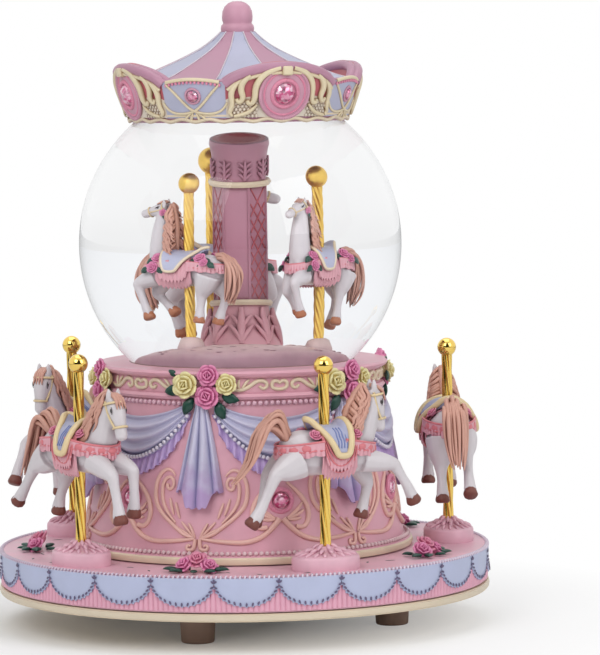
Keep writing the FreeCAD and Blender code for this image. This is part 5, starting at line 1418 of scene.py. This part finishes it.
def horse_bridle(pose, build, inner):
    """Bridle and eyes."""
    head = build.head
    poll, cheek, muzzle = traced(pose, "head")
    axis = (muzzle - cheek).normalized()
    across = Vector((0, 1, 0))
    other = axis.cross(across)
    thin = 0.22 if inner else 0.45
    strokes = []
    for centre, radius in ((between(cheek, muzzle, 0.5), 2.55 * head),
                           (between(poll, cheek, 0.05), 3.9 * head)):
        strokes.append([(centre + across * radius * math.cos(step * math.pi / 6) +
                         other * radius * math.sin(step * math.pi / 6), thin) for step in range(13)])
    for left in (-1, 1):
        strokes.append([(poll + Vector((-0.6, left * 3.3, 0.6)) * head, thin),
                        (between(poll, cheek, 0.7) + Vector((-1.6, left * 3.6, 0)) * head, thin),
                        (between(cheek, muzzle, 0.5) + Vector((0, left * 2.5, 0)) * head, thin)])
    parts = [drawn(strokes, RIM, steps=3, degrees=70)]
    brow = brow_of(axis)
    for left in (-1, 1):
        place = between(poll, cheek, 0.5) + Vector((0, left * 3.25 * head, 0)) + brow * 1.2 * head
        lid = facing(place, axis, (0, left, 0)) @ Matrix.Scale(head, 4)
        parts.append(painted(moved(bead((0.75, 0.42, 0.35), 2), lid), EYE, 80))
        lash = [place + (brow * 0.5 - axis * 1.3) * head, place + (brow * 0.75 + across * left * 0.3) * head,
                place + (brow * 0.1 + axis * 1.4) * head]
        parts.append(drawn([list(zip(lash, (0.1, 0.26 * head, 0.08)))], EYE, steps=3, degrees=80))
    return parts


def horse_flowers(pose, build, inner, around):
    """Roses at the withers and rump, and on the inner horses at breast and cheek too."""
    head = build.head
    parts = []
    poll, cheek, _ = traced(pose, "head")
    kind = "pink" if inner else "pale"
    places = [(-6.2, 42, 2.5), (9.4, 42, 2.5)]
    if inner:
        places = [(-7.2, 44, 2.3), (8.4, 46, 2.3), (9.6, 78, 2.2), (-9.4, 60, 1.8)]
    for left in (-1, 1):
        for forward, angle, size in places:
            out = around(0, angle * left, 1)
            parts.append(bloom(kind, around(forward, angle * left, 9.6), out, size, forward * 20))
            if inner:
                for aim in (-1, 1):
                    place = around(forward + aim * 1.4, angle * left, 9.4)
                    parts.append(sprig(place, (aim, 0, -0.7), out, 3.4))
        if inner:
            side = between(poll, cheek, 0.15) + Vector((-1.2, left * 3.4, -1.6)) * head
            parts.append(bloom("pink", side, (0, left, 0), 1.5))
            parts.append(sprig(side, (-0.6, 0, -1), (0, left, 0), 3.0))
    return parts


def make_horse(name, inner=False):
    pose, build = POSES[name], BUILDS[inner]

    def around(forward, angle, radius):
        turned = math.radians(angle)
        reach = radius * build.girth
        return Vector((forward, reach * math.sin(turned), reach * math.cos(turned)))

    body, hooves = horse_body(pose, build)
    feet = drawn(hooves, PALE_HOOF if inner else HOOF, 3, 3, 50)
    hair = horse_hair(pose, build)
    return join([body, feet, hair] + horse_saddle(around, inner) + horse_straps(build, inner) +
                horse_bridle(pose, build, inner) + horse_flowers(pose, build, inner, around))


OUTER_HORSE_HEIGHT = 69.5
INNER_HORSE_HEIGHT = 133.6
INNER_HORSE_SCALE = 0.87


def make_horses():
    masters = {name: make_horse(name) for name in ("leaping", "cantering")}
    styles = ("leaping", "cantering", "leaping", "leaping", "cantering")
    for number, (angle, style) in enumerate(zip(evenly(OUTER_HORSES, POLE_START), styles), 1):
        place = turn(angle) @ at(0, -POLE_CIRCLE, OUTER_HORSE_HEIGHT)
        piece(copied(masters[style], place), "outer_horse_painted_%d" % number, "outer_carousel",
              "horse_enamel", "outer_horse_%d" % number)
    for master in masters.values():
        bpy.data.objects.remove(master)
    master = make_horse("prancing", True)
    ways = ((0, 1.2), (-22, 1.0), (0, 1.2))
    for number, (angle, way) in enumerate(zip(evenly(INNER_HORSES, INNER_START), ways), 1):
        yaw, stretch = way
        place = (turn(angle) @ at(0, -INNER_CIRCLE, INNER_HORSE_HEIGHT) @ turn(180 + yaw) @
                 Matrix.Scale(INNER_HORSE_SCALE, 4) @ Matrix.Diagonal((stretch, 1, 1, 1)))
        piece(copied(master, place), "inner_horse_painted_%d" % number, "inner_carousel", "horse_enamel",
              "inner_horse_%d" % number)
    bpy.data.objects.remove(master)


for make in (make_base, make_skirt, make_drum, make_scrolls, make_jewels, make_swags, make_tails,
             make_clusters, make_platform_dressing, make_poles, make_globe, make_mound, make_column,
             make_canopy, make_plaques, make_fans, make_finial, make_horses):
    make()
for model in list(ROSES.values()) + [ONE_LEAF]:
    bpy.data.objects.remove(model)


# Finishes of the plain parts that still show

def plain(slot_name, color, rough=0.5, metallic=0.0):
    return resin(slot_name + "_plain", color, "#2A2626", rough=rough, metallic=metallic, amount=0.3)


BY_SLOT = {
    "cream_resin": CREAM, "pink_resin": PLATFORM_PINK, "lavender_resin": LAVENDER, "rose_paint": PALE_ROSE,
    "horse_enamel": COAT_WHITE, "gilt_metal": GOLD, "finial_resin": PALE_ROSE, "gem_acrylic": GEM,
    "foot_rubber": FOOT,
}
for slot_name, look in (("plug_rubber", ("#8A8784", 0.7)), ("screw_steel", ("#B9BBBE", 0.3, 1.0)),
                        ("bush_brass", ("#C9A24E", 0.35, 1.0)), ("gear_plastic", ("#E6E0CF",)),
                        ("deck_plastic", ("#D9D6D0",)), ("knob_plastic", ("#34302F",)),
                        ("motor_steel", ("#A8ABB0", 0.35, 1.0)), ("board_laminate", ("#2E6B48",)),
                        ("receiver_plastic", ("#2B1E2A", 0.25)), ("cell_jacket", ("#5A6C8C", 0.35))):
    BY_SLOT[slot_name] = plain(slot_name, *look)


def finish_cad():
    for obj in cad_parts.values():
        names = [material.name for material in obj.data.materials if material]
        slot = names[0].split(".")[0] if names else "deck_plastic"
        coated(obj, BY_SLOT.get(slot, CREAM))


finish_cad()


# Stage, lamps and camera

def make_stage():
    bpy.ops.object.select_all(action="DESELECT")
    # Set 4 cm to the left, so the painted shadow near the object leans to the left.
    bpy.ops.mesh.primitive_plane_add(size=16.0, location=(-0.04, 0, 0))
    floor = bpy.context.object
    floor.name = "floor"
    material, tree, shader = finish("pale_floor", Roughness=0.9, Specular_IOR_Level=0.1)
    tint = add(tree, "ShaderNodeValToRGB", Fac=noise(tree, 3.0))
    for stop, grey in zip(tint.color_ramp.elements, (0.93, 0.96)):
        stop.color = (grey, grey, grey, 1)
    wire(tree, shader, Base_Color=tint.outputs["Color"])
    path = tree.nodes.new("ShaderNodeLightPath").outputs
    seen = calculated(tree, "MULTIPLY_ADD", path["Is Transmission Ray"], 0.8, path["Is Camera Ray"])
    reach = tree.nodes.new("ShaderNodeVectorMath")
    reach.operation = "LENGTH"
    tree.links.new(place_of(tree), reach.inputs[0])
    # Within 0.22 m of the floor's origin the white glow gives way to the lit floor, which shows darker there
    # even where no shadow falls: a painted shadow pool over the real one.
    far = ranged(tree, reach.outputs["Value"], 0.05, 0.22, 0.05, 1.0)
    glow = add(tree, "ShaderNodeEmission", Strength=1.0).outputs["Emission"]
    surface = chosen(tree, calculated(tree, "MULTIPLY", seen, far), shader.outputs["BSDF"], glow)
    wire(tree, tree.nodes["Material Output"], Surface=surface)
    floor.data.materials.append(material)


WHITE = (1, 1, 1, 1)
AMBIENT = 0.41
LAMP_TARGET = Vector((0, 0, 0.11))


def make_world():
    """White where it is looked at, but darker on the side behind the camera, as a studio is."""
    world = bpy.data.worlds.new("studio")
    bpy.context.scene.world = world
    world.use_nodes = True
    tree = world.node_tree
    toward = tree.nodes.new("ShaderNodeTexCoord").outputs["Generated"]
    ahead = add(tree, "ShaderNodeSeparateXYZ", Vector=toward).outputs["Y"]
    dark = ranged(tree, ahead, -0.8, -0.4, 0.03, 1.0)
    path = tree.nodes.new("ShaderNodeLightPath").outputs
    shown = wire(tree, tree.nodes["Background"], Color=WHITE, Strength=AMBIENT).outputs["Background"]
    for ray, color, strength in (("Is Glossy Ray", WHITE, dark),
                                 ("Is Transmission Ray", (0.97, 0.98, 1, 1), 0.96),
                                 ("Is Camera Ray", WHITE, 1.0)):
        sky = add(tree, "ShaderNodeBackground", Color=color, Strength=strength).outputs["Background"]
        shown = chosen(tree, path[ray], shown, sky)
    wire(tree, tree.nodes["World Output"], Surface=shown)


def lamp(name, place, size, power):
    light = bpy.data.lights.new(name, "AREA")
    light.shape = "RECTANGLE"
    light.size, light.size_y = size
    light.energy = power
    obj = bpy.data.objects.new(name, light)
    bpy.context.scene.collection.objects.link(obj)
    obj.location = place
    aim = LAMP_TARGET - Vector(place)
    obj.rotation_euler = aim.to_track_quat("-Z", "Y").to_euler()
    obj.visible_transmission = False


CAMERA_DISTANCE = 1.4143
CAMERA_HEIGHT = 0.21125
FOCAL_PIXELS = 3800.3
PHOTO_HEIGHT = 655
PITCH, YAW, ROLL = (math.radians(value) for value in (4.121, 0.884, -0.719))


def make_camera():
    camera = bpy.data.cameras.new("camera")
    camera.sensor_fit = "VERTICAL"
    camera.sensor_height = 36.0
    camera.lens = FOCAL_PIXELS / PHOTO_HEIGHT * camera.sensor_height
    camera.clip_end = 50
    obj = bpy.data.objects.new("camera", camera)
    bpy.context.scene.collection.objects.link(obj)
    ahead = Vector((math.sin(YAW) * math.cos(PITCH), math.cos(YAW) * math.cos(PITCH), -math.sin(PITCH)))
    right = ahead.cross(Vector((0, 0, 1))).normalized()
    up = right.cross(ahead)
    leaning = right * math.cos(ROLL) + up * math.sin(ROLL)
    standing = up * math.cos(ROLL) - right * math.sin(ROLL)
    obj.matrix_world = (at(0, -CAMERA_DISTANCE, CAMERA_HEIGHT) @
                        Matrix((leaning, standing, -ahead)).transposed().to_4x4())
    bpy.context.scene.camera = obj


make_stage()
make_world()
lamp("key", (-0.65, -1.2, 1.05), (0.9, 0.9), 9.5)
lamp("fill", (0.95, -0.95, 0.8), (0.7, 1.0), 6.75)
lamp("top", (0.0, 0.2, 1.3), (1.0, 1.0), 4.1)
make_camera()
bpy.context.scene.view_settings.view_transform = "Standard"
